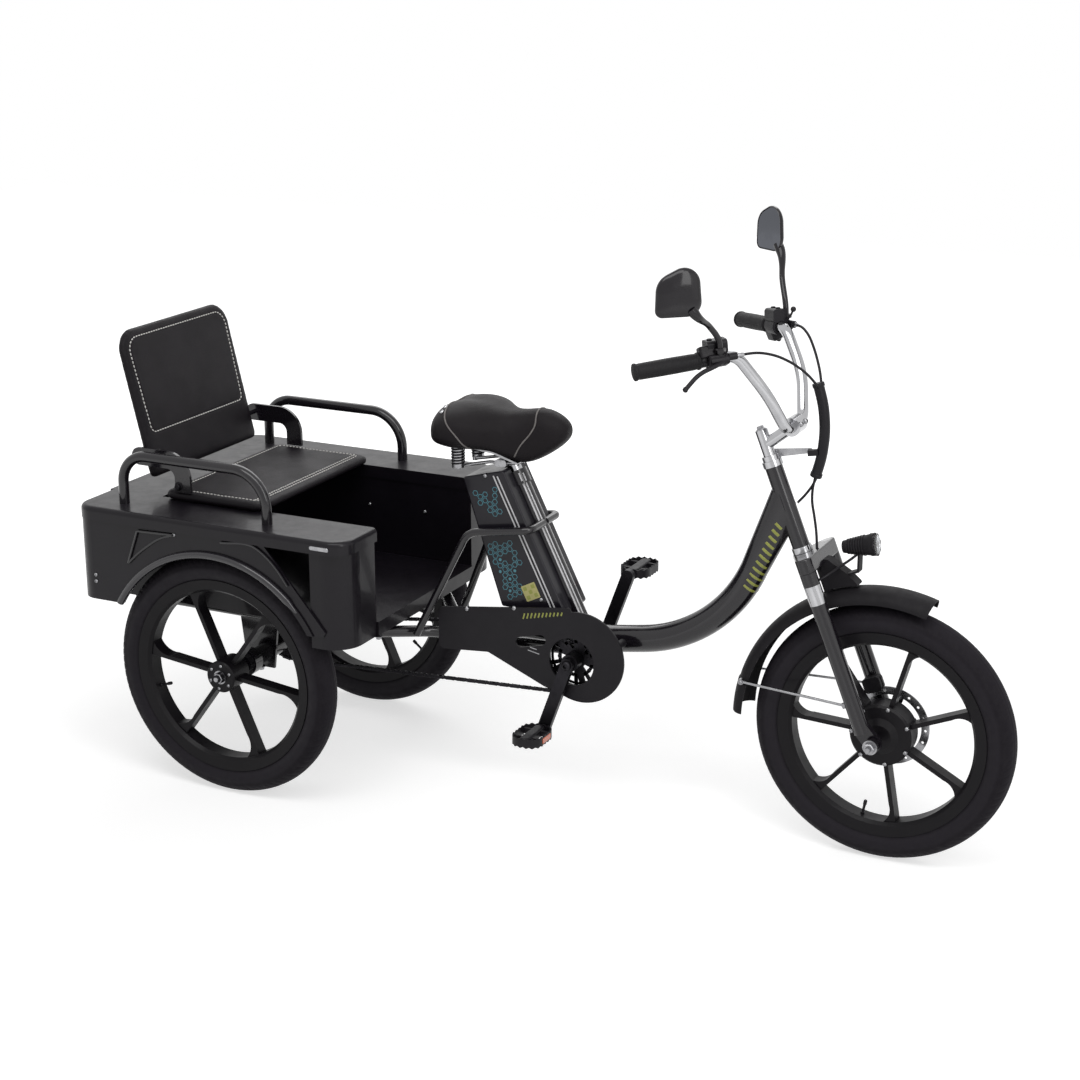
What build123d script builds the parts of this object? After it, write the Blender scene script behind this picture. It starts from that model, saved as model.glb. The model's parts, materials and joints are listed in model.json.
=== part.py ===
from build123d import *
import os
from math import cos, radians, sin, tan

# Electric tricycle with a passenger box between its rear wheels.
# +X is the way it drives, +Y its left side, +Z up, and it stands on Z = 0.
# The origin is on the floor under the middle of its length. All sizes are in mm.

# ---- driving dimensions: the whole vehicle ----
wheelbase = 1325.0
rear_axle_x = -614.0
rear_track = 574.0  # between the middles of the two rear tyres
wheel_radius = 260.0
head_angle = 68.1  # steering axis, from the level
fork_offset = 37.0  # front axle ahead of the steering axis
fork_length = 395.0  # front axle to the foot of the head tube, along the axis
head_tube_length = 164.0

# ---- wheels and tyres ----
front_tyre_width = 64.0
rear_tyre_width = 62.0
tyre_section_radius = 31.0  # radial half height of the tyre's section
rim_seat_radius = 203.0
rim_inner_radius = 182.0
rim_width = 46.0
rim_lip = 6.0
tyre_seat_gap = 0.3
front_spokes = 7
front_spoke_start = 23.0  # first spoke, from the level
rear_spokes = 6
rear_spoke_start = 53.5
spoke_width = 9.0
spoke_depth = 28.0
motor_radius = 62.0
motor_half_width = 34.0
motor_drum_half = 21.0
front_axle_radius = 7.0
rear_hub_radius = 34.0
rear_shaft_radius = 8.5
running_gap = 0.05  # radial clearance of a shaft in its bore
brake_disc_radius = 80.0
brake_disc_thickness = 2.0

# ---- passenger box ----
box_rear = 340.0  # behind the rear axle
box_front = 318.0  # ahead of the rear axle
box_half_width = 334.0
well_half_width = 206.0
deck_top = 595.0
deck_thickness = 28.0
deck_corner_radius = 45.0
floor_top = 395.0
floor_thickness = 30.0
wall_thickness = 3.0
skirt_thickness = 5.0
skirt_bottom = 392.0
arch_radius = 262.0
arch_lip_width = 12.0
panel_seam = 290.0  # rear panel to side panels, behind the rear axle
shelf_front = 205.0  # front edge of the rear shelf, behind the rear axle

# ---- passenger seat ----
seat_half_width = 224.0
seat_depth = 252.0
seat_thickness = 20.0
seat_front = 58.0  # ahead of the rear axle
backrest_half_width = 198.0
backrest_length = 322.0
backrest_thickness = 18.0
backrest_lean = 13.5  # from the vertical
backrest_pivot_back = 247.0  # behind the rear axle
backrest_pivot_z = 682.0
backrest_below_pivot = 58.0
backrest_corner = 50.0
backrest_pin_radius = 5.0
bracket_half_gap = 212.0  # inner face of each backrest bracket
bracket_thickness = 7.0
bracket_width = 38.0
bracket_foot_back = 140.0  # behind the rear axle
soft_gap = 0.3  # left under cushions, grips and other soft pieces
armrest_y = 276.0
armrest_radius = 11.0
armrest_top = 712.0
armrest_rear = 248.0  # behind the rear axle
armrest_front = 105.0  # ahead of the rear axle
armrest_bend = 45.0

# ---- frame ----
crank_ahead = 690.0  # bottom bracket, ahead of the rear axle
crank_z = 325.0
bottom_bracket_radius = 22.0
bottom_bracket_half = 36.0
down_tube_radius = 28.0
down_tube_flare = 36.0  # half height where it meets the head tube
down_tube_neck = 19.0  # and half width there
down_tube_bend_ahead = 986.0
down_tube_bend_z = 399.0
down_tube_bend = 303.0
down_tube_foot_z = 346.8
down_tube_foot_back = 20.0  # it starts this far behind the seat tube's foot
down_tube_meets = 92.0  # its axis meets the steering axis here, above the head tube's foot
head_tube_radius = 17.5
head_tube_wall = 2.5
cup_radius = 20.0
cup_height = 12.0
steerer_radius = 14.2
seat_tube_radius = 17.0
seat_tube_angle = 63.8
seat_tube_foot = 683.0  # ahead of the rear axle
seat_tube_foot_z = 380.0
seat_tube_length = 346.0
seat_collar_height = 30.0
seat_collar_wall = 4.0
seat_post_radius = 13.6
rail_radius = 12.0
rail_half_gap = 165.0
brace_radius = 8.0
brace_y = 68.0
battery_width = 104.0
battery_top = 701.0
battery_fall = 24.0  # the top slopes down to the rear by this
battery_foot = 412.0
battery_depth_top = 93.0
battery_depth_foot = 147.0
battery_gap = 0.4  # round the seat tube
battery_overlap = 1.0  # the case reaches this far ahead of the seat tube's axis
guard_y = 70.0  # inner face of the chain guard
guard_thickness = 4.0
guard_front_radius = 96.0
guard_window_radius = 50.0

# ---- drive ----
crank_length = 152.0
crank_angle = 70.0  # left arm, from the level
crank_y = 84.0  # inner face of the crank arms
crank_thickness = 13.0
spindle_radius = 8.5
chain_y = 50.0
chain_width = 7.0
chain_height = 8.0
chainring_pitch = 77.0
sprocket_pitch = 48.0
chain_gap = 0.6
pedal_length = 92.0
pedal_width = 66.0
pedal_thickness = 22.0
pedal_pin_radius = 5.0
axle_tube_radius = 19.0
axle_tube_half = 232.0
differential_radius = 52.0
differential_half = 38.0

# ---- saddle ----
saddle_half_width = 114.0
saddle_rear_radius = 62.0
saddle_nose_radius = 30.0
saddle_clamp_ahead = 509.0
saddle_clamp_z = 709.0
saddle_rail_radius = 3.5
saddle_spring_ahead = 420.0
saddle_spring_y = 44.0
saddle_spring_radius = 13.0

# ---- front end ----
leg_y = 68.0
leg_forward = 24.5  # legs ahead of the steering axis
leg_radius = 16.0
leg_top = 105.0  # top of the lower legs, below the foot of the head tube
stanchion_radius = 11.0
sleeve_height = 37.7  # bright covers over the springs
crown_gap = 0.5  # under the lower headset cup
crown_thickness = 30.0
crown_socket_radius = 16.5
crown_neck_radius = 22.0
socket_length = 24.0
fender_back = 4.0  # centre of the fender's arc behind the axle
fender_lower = 8.0  # and below it
fender_inner_radius = 300.0
fender_thickness = 2.5
fender_half_width = 40.0
fender_drop = 24.0
fender_start = 72.0  # front edge, from the level
fender_sweep = 94.0
flap_sweep = 12.0
flap_thickness = 3.0
stay_angle = 164.0
stay_height = 86.0  # eyes on the legs, above the axle along the legs
stay_radius = 2.6
stem_rise = 238.0  # top of the stem, above the head tube's foot
stem_radius = 12.5
clamp_ahead = 1122.0
clamp_z = 850.0
clamp_half = 21.0
bar_radius = 11.1
bar_wall = 2.0
grip_radius = 16.0
grip_length = 126.0
bar_bottom_y = 46.0
bar_middle_y = 98.0
bar_middle_z = 928.0
bar_middle_ahead = 1100.0
bar_top_y = 135.0
bar_top_z = 1006.0
bar_top_ahead = 1050.0
bar_end_y = 268.0
bar_end_z = 986.0
bar_end_ahead = 908.0
mirror_y = 262.0
mirror_z = {"right": 1135.0, "left": 1176.0}
mirror_ahead = {"right": 988.0, "left": 970.0}
mirror_yaw = 36.0
mirror_radius = 36.0
mirror_half_width = 43.0
mirror_corner_radius = 9.0
mirror_thickness = 17.0
lamp_ahead = 1291.0  # middle of the lens
lamp_z = 636.0
lamp_tilt = 12.0
lamp_length = 64.0
lamp_front_radius = 22.0
lamp_back_radius = 12.0
lamp_strap_width = 22.0
lamp_strap_thickness = 4.0

# ---- cables ----
sheath_radius = 10.5
cable_radius = 2.6
cable_clearance = 5.0  # they end this far from the head tube, so that the fork can turn

# ---- places worked out from them ----
front_axle_x = rear_axle_x + wheelbase
axle_z = wheel_radius
tyre_y = rear_track / 2
up_c, up_s = cos(radians(head_angle)), sin(radians(head_angle))
steer_up = Vector(-up_c, 0, up_s)
steer_fwd = Vector(up_s, 0, up_c)
front_hub = Vector(front_axle_x, 0, axle_z)
steer_foot = front_hub - steer_fwd * fork_offset + steer_up * fork_length
deck_bottom = deck_top - deck_thickness
floor_bottom = floor_top - floor_thickness
rail_z = floor_bottom - rail_radius - soft_gap
fender_centre = front_hub - Vector(fender_back, 0, fender_lower)
sides = {"right": -1, "left": 1}


def ahead(distance):
    """World X of a point given by its distance ahead of the rear axle."""
    return rear_axle_x + distance


def steer_plane(height, forward=0.0, across=0.0):
    """Plane square to the steering axis, at a height above the head tube's foot."""
    origin = steer_foot + steer_up * height + steer_fwd * forward + Vector(0, across, 0)
    return Plane(origin=origin, x_dir=steer_fwd, z_dir=steer_up)


def hub_section(hub, angle=90.0):
    """Plane through a wheel's axle: X runs across the wheel, Y out along a radius."""
    out = Vector(cos(radians(angle)), 0, sin(radians(angle)))
    return Plane(origin=hub, x_dir=(0, 1, 0), z_dir=Vector(0, 1, 0).cross(out))


def wheel_face(hub, y=0.0):
    """Plane of a wheel's disc, seen from the right: X ahead, Y up."""
    return Plane(origin=(hub.X, y, hub.Z), x_dir=(1, 0, 0), z_dir=(0, -1, 0))


def tube_part(points, bends, outside, inside=0.0):
    """Round tube along straight runs joined by arcs."""
    with BuildPart() as tube:
        with BuildLine() as path:
            if len(points) > 2:
                FilletPolyline(*points, radius=bends)
            else:
                Line(*points)
        with BuildSketch(Plane(path.line @ 0, z_dir=path.line % 0)):
            Circle(outside)
            if inside:
                Circle(inside, mode=Mode.SUBTRACT)
        sweep(path=path.line)
    return tube.part


def finish(builder, name, color=None):
    """Label a finished piece and write its file."""
    builder.part.label = name
    if color:
        builder.part.color = Color(color)
    export_step(builder.part, f"parts/{name}.step")


os.makedirs("parts", exist_ok=True)

# =============================== wheels ===============================


def tyre_part(hub, width):
    """Solid tyre: an elliptic section turned round the axle, cut at the rim's seat."""
    middle = wheel_radius - tyre_section_radius
    with BuildPart() as tyre:
        with BuildSketch(hub_section(hub)):
            with Locations((0, middle)):
                Ellipse(width / 2, tyre_section_radius)
            seat = rim_seat_radius + tyre_seat_gap
            with Locations((0, seat / 2)):
                Rectangle(width * 2, seat, mode=Mode.SUBTRACT)
            for flank in (-1, 1):
                lip_top = rim_seat_radius + rim_lip + tyre_seat_gap
                bead = rim_width / 2 - tyre_seat_gap
                with Locations((flank * (bead + width / 2), lip_top / 2)):
                    Rectangle(width, lip_top, mode=Mode.SUBTRACT)
        revolve(axis=Axis(hub, (0, 1, 0)))
    return tyre.part


def rim_ring(hub):
    """Rim: a ring with two lips beside the tyre's beads."""
    half = rim_width / 2
    with BuildPart() as ring:
        with BuildSketch(hub_section(hub)):
            with BuildLine():
                Polyline(
                    (-half + 7, rim_inner_radius), (half - 7, rim_inner_radius),
                    (half, rim_inner_radius + 6), (half + 3, rim_seat_radius + rim_lip),
                    (half, rim_seat_radius + rim_lip), (half, rim_seat_radius),
                    (-half, rim_seat_radius), (-half, rim_seat_radius + rim_lip),
                    (-half - 3, rim_seat_radius + rim_lip), (-half, rim_inner_radius + 6),
                    close=True,
                )
            make_face()
        revolve(axis=Axis(hub, (0, 1, 0)))
    return ring.part


def spoke_set(hub, count, first, start_radius, flare):
    """Thin cast spokes that flare to one side where they meet the rim."""
    half = spoke_width / 2
    end_radius = rim_inner_radius + 3
    with BuildSketch() as spoke:
        with BuildLine():
            Line((start_radius, half), (end_radius, half))
            Line((end_radius, half), (end_radius, -half - flare))
            ThreePointArc(
                (end_radius, -half - flare), (end_radius - flare * 0.45, -half - flare * 0.25),
                (end_radius - flare * 1.5, -half),
            )
            Line((end_radius - flare * 1.5, -half), (start_radius, -half))
            Line((start_radius, -half), (start_radius, half))
        make_face()
    with BuildPart() as spokes:
        with BuildSketch(wheel_face(hub, hub.Y)):
            with PolarLocations(0, count, start_angle=first):
                add(spoke.sketch)
        extrude(amount=spoke_depth / 2, both=True)
    return spokes.part


front_tyre_solid = tyre_part(front_hub, front_tyre_width)
with BuildPart() as front_tyre:
    add(front_tyre_solid)
finish(front_tyre, "front_tyre")

front_ring = rim_ring(front_hub)
front_spoke_set = spoke_set(front_hub, front_spokes, front_spoke_start, motor_radius - 6, 26.0)
with BuildPart() as front_rim:
    add(front_ring)
    add(front_spoke_set)
    with BuildSketch(hub_section(front_hub)):
        with BuildLine():
            Polyline(
                (-motor_half_width, 0), (-motor_half_width, motor_radius * 0.4),
                (-motor_drum_half - 5, motor_radius * 0.6), (-motor_drum_half - 4, motor_radius - 4),
                (-motor_drum_half, motor_radius), (motor_drum_half, motor_radius),
                (motor_drum_half + 4, motor_radius - 4), (motor_drum_half + 5, motor_radius * 0.6),
                (motor_half_width, motor_radius * 0.4), (motor_half_width, 0), close=True,
            )
        make_face()
    revolve(axis=Axis(front_hub, (0, 1, 0)))
    with BuildSketch(wheel_face(front_hub)):
        Circle(front_axle_radius + running_gap)
    extrude(amount=motor_half_width + 1, both=True, mode=Mode.SUBTRACT)
finish(front_rim, "front_rim")

disc_y = motor_half_width + 3.0
with BuildPart() as brake_disc:
    with BuildSketch(wheel_face(front_hub, disc_y + brake_disc_thickness)):
        Circle(brake_disc_radius)
        Circle(brake_disc_radius - 16, mode=Mode.SUBTRACT)
        with PolarLocations(0, 6, start_angle=10):
            with Locations((brake_disc_radius / 2 - 4, 0)):
                Rectangle(brake_disc_radius - 16, 8, rotation=0)
        Circle(26)
        Circle(front_axle_radius + 4, mode=Mode.SUBTRACT)
        with PolarLocations(brake_disc_radius - 8, 18):
            Circle(2.6, mode=Mode.SUBTRACT)
    extrude(amount=brake_disc_thickness)
    with BuildSketch(wheel_face(front_hub, disc_y)):
        Circle(24)
        Circle(front_axle_radius + 4, mode=Mode.SUBTRACT)
    extrude(amount=disc_y - motor_half_width)
finish(brake_disc, "brake_disc")

rear_hub_half = 30.0
nut_radius = 13.0
for side_name, side in sides.items():
    hub = Vector(rear_axle_x, side * tyre_y, axle_z)
    rear_tyre_solid = tyre_part(hub, rear_tyre_width)
    rear_ring = rim_ring(hub)
    rear_spoke_set = spoke_set(hub, rear_spokes, rear_spoke_start, rear_hub_radius - 6, 34.0)
    with BuildPart() as rear_tyre:
        add(rear_tyre_solid)
    finish(rear_tyre, f"rear_tyre_{side_name}")
    with BuildPart() as rear_rim:
        add(rear_ring)
        add(rear_spoke_set)
        with BuildSketch(wheel_face(hub, hub.Y)):
            Circle(rear_hub_radius)
        extrude(amount=rear_hub_half, both=True)
        chamfer(rear_rim.edges().filter_by(GeomType.CIRCLE).group_by(Axis.Y)[0], 3)
        chamfer(rear_rim.edges().filter_by(GeomType.CIRCLE).group_by(Axis.Y)[-1], 3)
        with BuildSketch(wheel_face(hub, hub.Y)):
            Circle(rear_shaft_radius)
        extrude(amount=rear_hub_half + 1, both=True, mode=Mode.SUBTRACT)
    finish(rear_rim, f"rear_rim_{side_name}")
    shaft_inner = 90.0
    shaft_outer = tyre_y + rear_hub_half + 14
    with BuildPart() as axle_shaft:
        with BuildSketch(Plane(origin=(hub.X, side * shaft_inner, hub.Z), z_dir=(0, side, 0))):
            Circle(rear_shaft_radius)
        extrude(amount=shaft_outer - shaft_inner)
        with BuildSketch(Plane(origin=(hub.X, side * (tyre_y + rear_hub_half), hub.Z),
                               z_dir=(0, side, 0))):
            RegularPolygon(nut_radius, 6)
        extrude(amount=9)
    finish(axle_shaft, f"axle_shaft_{side_name}")

# =============================== frame ===============================

down_tube_start = Vector(ahead(seat_tube_foot - down_tube_foot_back), 0, down_tube_foot_z)
down_tube_corner = Vector(ahead(down_tube_bend_ahead), 0, down_tube_bend_z)
down_tube_end = steer_foot + steer_up * down_tube_meets
with BuildPart() as down_tube:
    with BuildLine() as tube_run:
        FilletPolyline(down_tube_start, down_tube_corner, down_tube_end, radius=down_tube_bend)
    rising = (down_tube_end - down_tube_corner).normalized()
    bend_out = tube_run.line.edges().filter_by(GeomType.CIRCLE)[0].vertices().sort_by(Axis.Z)[-1]
    with BuildLine() as round_run:
        add(tube_run.line.edges().sort_by(Axis.X)[:2])
    with BuildSketch(Plane(down_tube_start, z_dir=down_tube_corner - down_tube_start)):
        Circle(down_tube_radius)
    sweep(path=round_run.line)
    # the top run widens into a joint as tall as most of the head tube
    with BuildSketch(Plane(bend_out.center(), x_dir=(0, 1, 0), z_dir=rising)):
        Circle(down_tube_radius)
    joint_half = down_tube_flare / sin(radians(steer_up.get_angle(rising)))
    with BuildSketch(Plane(down_tube_end, x_dir=(0, 1, 0), z_dir=steer_fwd)):
        Ellipse(down_tube_neck, joint_half)
    loft()
    with BuildSketch(steer_plane(0)):
        Circle(head_tube_radius)
    extrude(amount=head_tube_length)
    with BuildSketch(Plane.XZ):
        with Locations((ahead(crank_ahead), crank_z)):
            Circle(bottom_bracket_radius)
    extrude(amount=bottom_bracket_half, both=True)
    with BuildSketch(steer_plane(0)):
        Circle(head_tube_radius - head_tube_wall)
    extrude(amount=head_tube_length, mode=Mode.SUBTRACT)
    with BuildSketch(Plane.XZ):
        with Locations((ahead(crank_ahead), crank_z)):
            Circle(spindle_radius + running_gap)
    extrude(amount=bottom_bracket_half + 5, both=True, mode=Mode.SUBTRACT)
finish(down_tube, "down_tube")

with BuildPart() as headset:
    for height, rise in ((head_tube_length, cup_height), (0.0, -cup_height)):
        with BuildSketch(steer_plane(height)):
            Circle(cup_radius)
            Circle(steerer_radius + running_gap, mode=Mode.SUBTRACT)
        extrude(amount=rise)
finish(headset, "headset")

seat_foot = Vector(ahead(seat_tube_foot), 0, seat_tube_foot_z)
seat_c, seat_s = cos(radians(seat_tube_angle)), sin(radians(seat_tube_angle))
seat_up = Vector(-seat_c, 0, seat_s)
seat_back = Vector(-seat_s, 0, -seat_c)


def seat_plane(height):
    """Plane square to the seat tube: X runs forward."""
    return Plane(origin=seat_foot + seat_up * height, x_dir=-seat_back, z_dir=seat_up)


with BuildPart() as seat_tube:
    with BuildSketch(seat_plane(-down_tube_radius)):
        Circle(seat_tube_radius)
    extrude(amount=seat_tube_length + down_tube_radius)
    with BuildSketch(seat_plane(seat_tube_length - seat_collar_height)):
        Circle(seat_tube_radius + seat_collar_wall)
    extrude(amount=seat_collar_height)
    with BuildSketch(seat_plane(60)):
        Circle(seat_post_radius)
    extrude(amount=seat_tube_length, mode=Mode.SUBTRACT)
    add(down_tube.part, mode=Mode.SUBTRACT)
finish(seat_tube, "seat_tube")

post_top = (saddle_clamp_z + 5 - seat_foot.Z) / seat_s
with BuildPart() as seat_post:
    with BuildSketch(seat_plane(seat_tube_length - 120)):
        Circle(seat_post_radius)
    extrude(amount=post_top - (seat_tube_length - 120))
finish(seat_post, "seat_post")

# lower rails: from the bottom bracket back under the box, with legs down to the axle
with BuildPart() as lower_rails:
    for side in sides.values():
        start = (ahead(crank_ahead - 20), side * 18, crank_z + 5)
        knee = (ahead(362), side * 48, crank_z + 7)
        bend = (ahead(262), side * rail_half_gap, rail_z)
        end = (ahead(-box_rear + 30), side * rail_half_gap, rail_z)
        add(tube_part([start, knee, bend, end], [70, 60], rail_radius))
    for station in (-300.0, 120.0):
        with BuildSketch(Plane.XZ):
            with Locations((ahead(station), rail_z)):
                Rectangle(26, 26)
        extrude(amount=rail_half_gap, both=True)
    for side in sides.values():
        hanger = Plane(origin=(rear_axle_x, side * (rail_half_gap - 3), 0), z_dir=(0, -1, 0),
                       x_dir=(1, 0, 0))
        with BuildSketch(hanger):
            with BuildLine():
                Polyline(
                    (-34, axle_z - 26), (34, axle_z - 26), (48, rail_z), (-48, rail_z), close=True
                )
            make_face()
        extrude(amount=3, both=True)
    with BuildSketch(Plane.XZ):
        with Locations((rear_axle_x, axle_z)):
            Circle(axle_tube_radius)
    extrude(amount=rail_half_gap + 30, both=True, mode=Mode.SUBTRACT)
    add(down_tube.part, mode=Mode.SUBTRACT)
finish(lower_rails, "lower_rails")

brace_z = 588.0
brace_meets = seat_foot + seat_up * ((brace_z - seat_foot.Z) / seat_s)
brace_end_x = brace_meets.X + battery_overlap + brace_radius / seat_s + 2.6
with BuildPart() as brace_tubes:
    for side in sides.values():
        route = [
            (ahead(350), side * 107, crank_z + 16),
            (ahead(452), side * brace_y, 566),
            (brace_end_x, side * brace_y, brace_z),
            (brace_end_x, side * 6, brace_z),
        ]
        add(tube_part(route, [40, 18], brace_radius))
    with BuildSketch(seat_plane(0)):
        Circle(seat_tube_radius)
    extrude(amount=seat_tube_length, mode=Mode.SUBTRACT)
    add(lower_rails.part, mode=Mode.SUBTRACT)
finish(brace_tubes, "brace_tubes")

# battery: a wedge-sided case behind the seat tube, with a groove that fits round the tube


def seat_tube_x(height):
    """World X of the seat tube's axis at a height above the floor."""
    return seat_foot.X - (height - seat_foot.Z) * seat_c / seat_s


with BuildPart() as battery_case:
    battery_front_top = seat_tube_x(battery_top) + battery_overlap
    battery_front_foot = seat_tube_x(battery_foot) + battery_overlap
    with BuildSketch(Plane.XZ):
        with BuildLine():
            Polyline(
                (battery_front_foot, battery_foot),
                (battery_front_foot - battery_depth_foot, battery_foot),
                (battery_front_top - battery_depth_top, battery_top - battery_fall),
                (battery_front_top, battery_top), close=True,
            )
        make_face()
    extrude(amount=battery_width / 2, both=True)
    fillet(battery_case.edges().filter_by(Axis.Y), 6)
    fillet(battery_case.faces().filter_by(Axis.Y).edges(), 4)
    with BuildSketch(seat_plane(-seat_tube_length)):
        Circle(seat_tube_radius + battery_gap)
    extrude(amount=3 * seat_tube_length, mode=Mode.SUBTRACT)
    with BuildSketch(seat_plane(seat_tube_length - seat_collar_height - battery_gap)):
        Circle(seat_tube_radius + seat_collar_wall + battery_gap)
    extrude(amount=seat_tube_length, mode=Mode.SUBTRACT)
finish(battery_case, "battery_case")

# chain guard: a flat plate with a round nose, a folded rim and a window for the chainring
guard_top_front = (ahead(crank_ahead - 5), crank_z + guard_front_radius + 18)
with BuildPart() as chain_guard:
    with BuildSketch(Plane.XZ.offset(guard_y)) as guard_face:
        with BuildLine():
            Polyline(
                (ahead(385), 306), (ahead(385), 398), guard_top_front,
                (ahead(crank_ahead + 60), crank_z), (ahead(crank_ahead), crank_z - 80),
                (ahead(628), 262), (ahead(500), 316), close=True,
            )
        make_face()
        with Locations((ahead(crank_ahead + 20), crank_z + 12)):
            Circle(guard_front_radius)
        with Locations((ahead(crank_ahead), crank_z)):
            Circle(guard_window_radius, mode=Mode.SUBTRACT)
        with Locations((ahead(crank_ahead - 92), crank_z + 30)):
            SlotOverall(70, 22, rotation=14, mode=Mode.SUBTRACT)
    extrude(amount=guard_thickness)
    fillet(chain_guard.edges().filter_by(Axis.Y).filter_by(
        lambda edge: edge.center().X < ahead(520)), 12)
    # a boss carries it on the side of the down tube
    with BuildSketch(Plane.XZ.offset(guard_y)):
        with Locations((ahead(crank_ahead + 93), crank_z + 41)):
            Circle(9)
    extrude(amount=-(guard_y - down_tube_radius - soft_gap))
finish(chain_guard, "chain_guard")

# =============================== drive ===============================

crank_out = Vector(cos(radians(crank_angle)), 0, sin(radians(crank_angle)))
crank_centre = Vector(ahead(crank_ahead), 0, crank_z)
chainring_radius = chainring_pitch - chain_height / 2 - chain_gap
sprocket_radius = sprocket_pitch - chain_height / 2 - chain_gap
with BuildPart() as crankset:
    with BuildSketch(Plane.XZ):
        with Locations((crank_centre.X, crank_centre.Z)):
            Circle(spindle_radius)
    extrude(amount=crank_y + crank_thickness, both=True)
    for side in sides.values():
        face = Plane(origin=(crank_centre.X, side * crank_y, crank_centre.Z),
                     x_dir=crank_out * side, z_dir=(0, side, 0))
        with BuildSketch(face):
            with Locations((crank_length / 2, 0)):
                SlotCenterToCenter(crank_length, 26)
        extrude(amount=crank_thickness)
    with BuildSketch(Plane.XZ.offset(chain_y - 2)):
        with Locations((crank_centre.X, crank_centre.Z)):
            Circle(chainring_radius)
            Circle(chainring_radius - 14, mode=Mode.SUBTRACT)
            with PolarLocations(0, 5, start_angle=crank_angle):
                with Locations((chainring_radius / 2 - 3, 0)):
                    Rectangle(chainring_radius - 6, 13)
            Circle(22)
    extrude(amount=4)
    with BuildSketch(Plane.XZ.offset(bottom_bracket_half + 2)):
        with Locations((crank_centre.X, crank_centre.Z)):
            Circle(18)
    extrude(amount=crank_y - bottom_bracket_half - 2)
    for side in sides.values():
        pin = crank_centre + crank_out * (crank_length * side) + Vector(0, side * (crank_y - 1), 0)
        with BuildSketch(Plane(origin=pin, z_dir=(0, side, 0))):
            Circle(pedal_pin_radius + running_gap)
        extrude(amount=crank_thickness + 2, mode=Mode.SUBTRACT)
finish(crankset, "crankset")

for side_name, side in sides.items():
    pin = crank_centre + crank_out * (crank_length * side) + Vector(0, side * crank_y, 0)
    pedal_in = crank_thickness + 5
    with BuildPart() as pedal:
        with BuildSketch(Plane(origin=pin + Vector(0, side * pedal_in, 0), x_dir=(1, 0, 0),
                               z_dir=(0, side, 0))):
            RectangleRounded(pedal_width, pedal_thickness, 6)
            with Locations((-18, 0), (18, 0)):
                Rectangle(14, pedal_thickness + 2, mode=Mode.SUBTRACT)
            Rectangle(pedal_width - 8, 5)
            Circle(9)
        extrude(amount=pedal_length)
        with BuildSketch(Plane(origin=pin, z_dir=(0, side, 0))):
            Circle(pedal_pin_radius)
        extrude(amount=pedal_in)
    finish(pedal, f"pedal_{side_name}")

with BuildPart() as chain:
    with BuildSketch(Plane.XZ.offset(chain_y - chain_width / 2)):
        with BuildSketch(mode=Mode.PRIVATE) as outer_loop:
            with Locations((crank_centre.X, crank_centre.Z)):
                Circle(chainring_pitch + chain_height / 2)
            with Locations((rear_axle_x, axle_z)):
                Circle(sprocket_pitch + chain_height / 2)
            make_hull()
        with BuildSketch(mode=Mode.PRIVATE) as inner_loop:
            with Locations((crank_centre.X, crank_centre.Z)):
                Circle(chainring_pitch - chain_height / 2)
            with Locations((rear_axle_x, axle_z)):
                Circle(sprocket_pitch - chain_height / 2)
            make_hull()
        add(outer_loop.sketch)
        add(inner_loop.sketch, mode=Mode.SUBTRACT)
    extrude(amount=chain_width)
finish(chain, "chain")

with BuildPart() as rear_axle:
    with BuildSketch(wheel_face(Vector(rear_axle_x, 0, axle_z))):
        Circle(axle_tube_radius)
    extrude(amount=axle_tube_half, both=True)
    with BuildSketch(Plane(origin=(rear_axle_x, 30, axle_z), x_dir=(1, 0, 0), z_dir=(0, -1, 0))):
        Circle(differential_radius)
    extrude(amount=differential_half + 30)
    chamfer(rear_axle.edges().filter_by(GeomType.CIRCLE).filter_by(
        lambda edge: abs(edge.radius - differential_radius) < 0.1), 8)
    for side in sides.values():
        with BuildSketch(Plane(origin=(rear_axle_x, side * (axle_tube_half - 34), axle_z),
                               z_dir=(0, side, 0))):
            Circle(axle_tube_radius + 9)
        extrude(amount=26)
        with BuildSketch(Plane(origin=(rear_axle_x, side * 85, axle_z), z_dir=(0, side, 0))):
            Circle(rear_shaft_radius + running_gap)
        extrude(amount=axle_tube_half, mode=Mode.SUBTRACT)
    with BuildSketch(Plane.XZ.offset(chain_y - 2)):
        with Locations((rear_axle_x, axle_z)):
            Circle(sprocket_radius)
    extrude(amount=4)
finish(rear_axle, "rear_axle")

# =============================== passenger box ===============================

with BuildPart() as box_floor:
    with BuildSketch(Plane.XY.offset(floor_bottom)):
        with Locations((ahead((box_front - box_rear + 5) / 2), 0)):
            Rectangle(box_front + box_rear - 5, 2 * well_half_width)
    extrude(amount=floor_thickness)
    with BuildSketch(Plane.XY.offset(floor_bottom)):
        with Locations((ahead((box_front - box_rear + 5) / 2), 0)):
            with GridLocations((box_front + box_rear - 5) / 2, 0, 2, 1):
                Rectangle((box_front + box_rear - 5) / 2 - 24, 2 * well_half_width - 24)
    extrude(amount=floor_thickness - 4, mode=Mode.SUBTRACT)
finish(box_floor, "box_floor")

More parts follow.
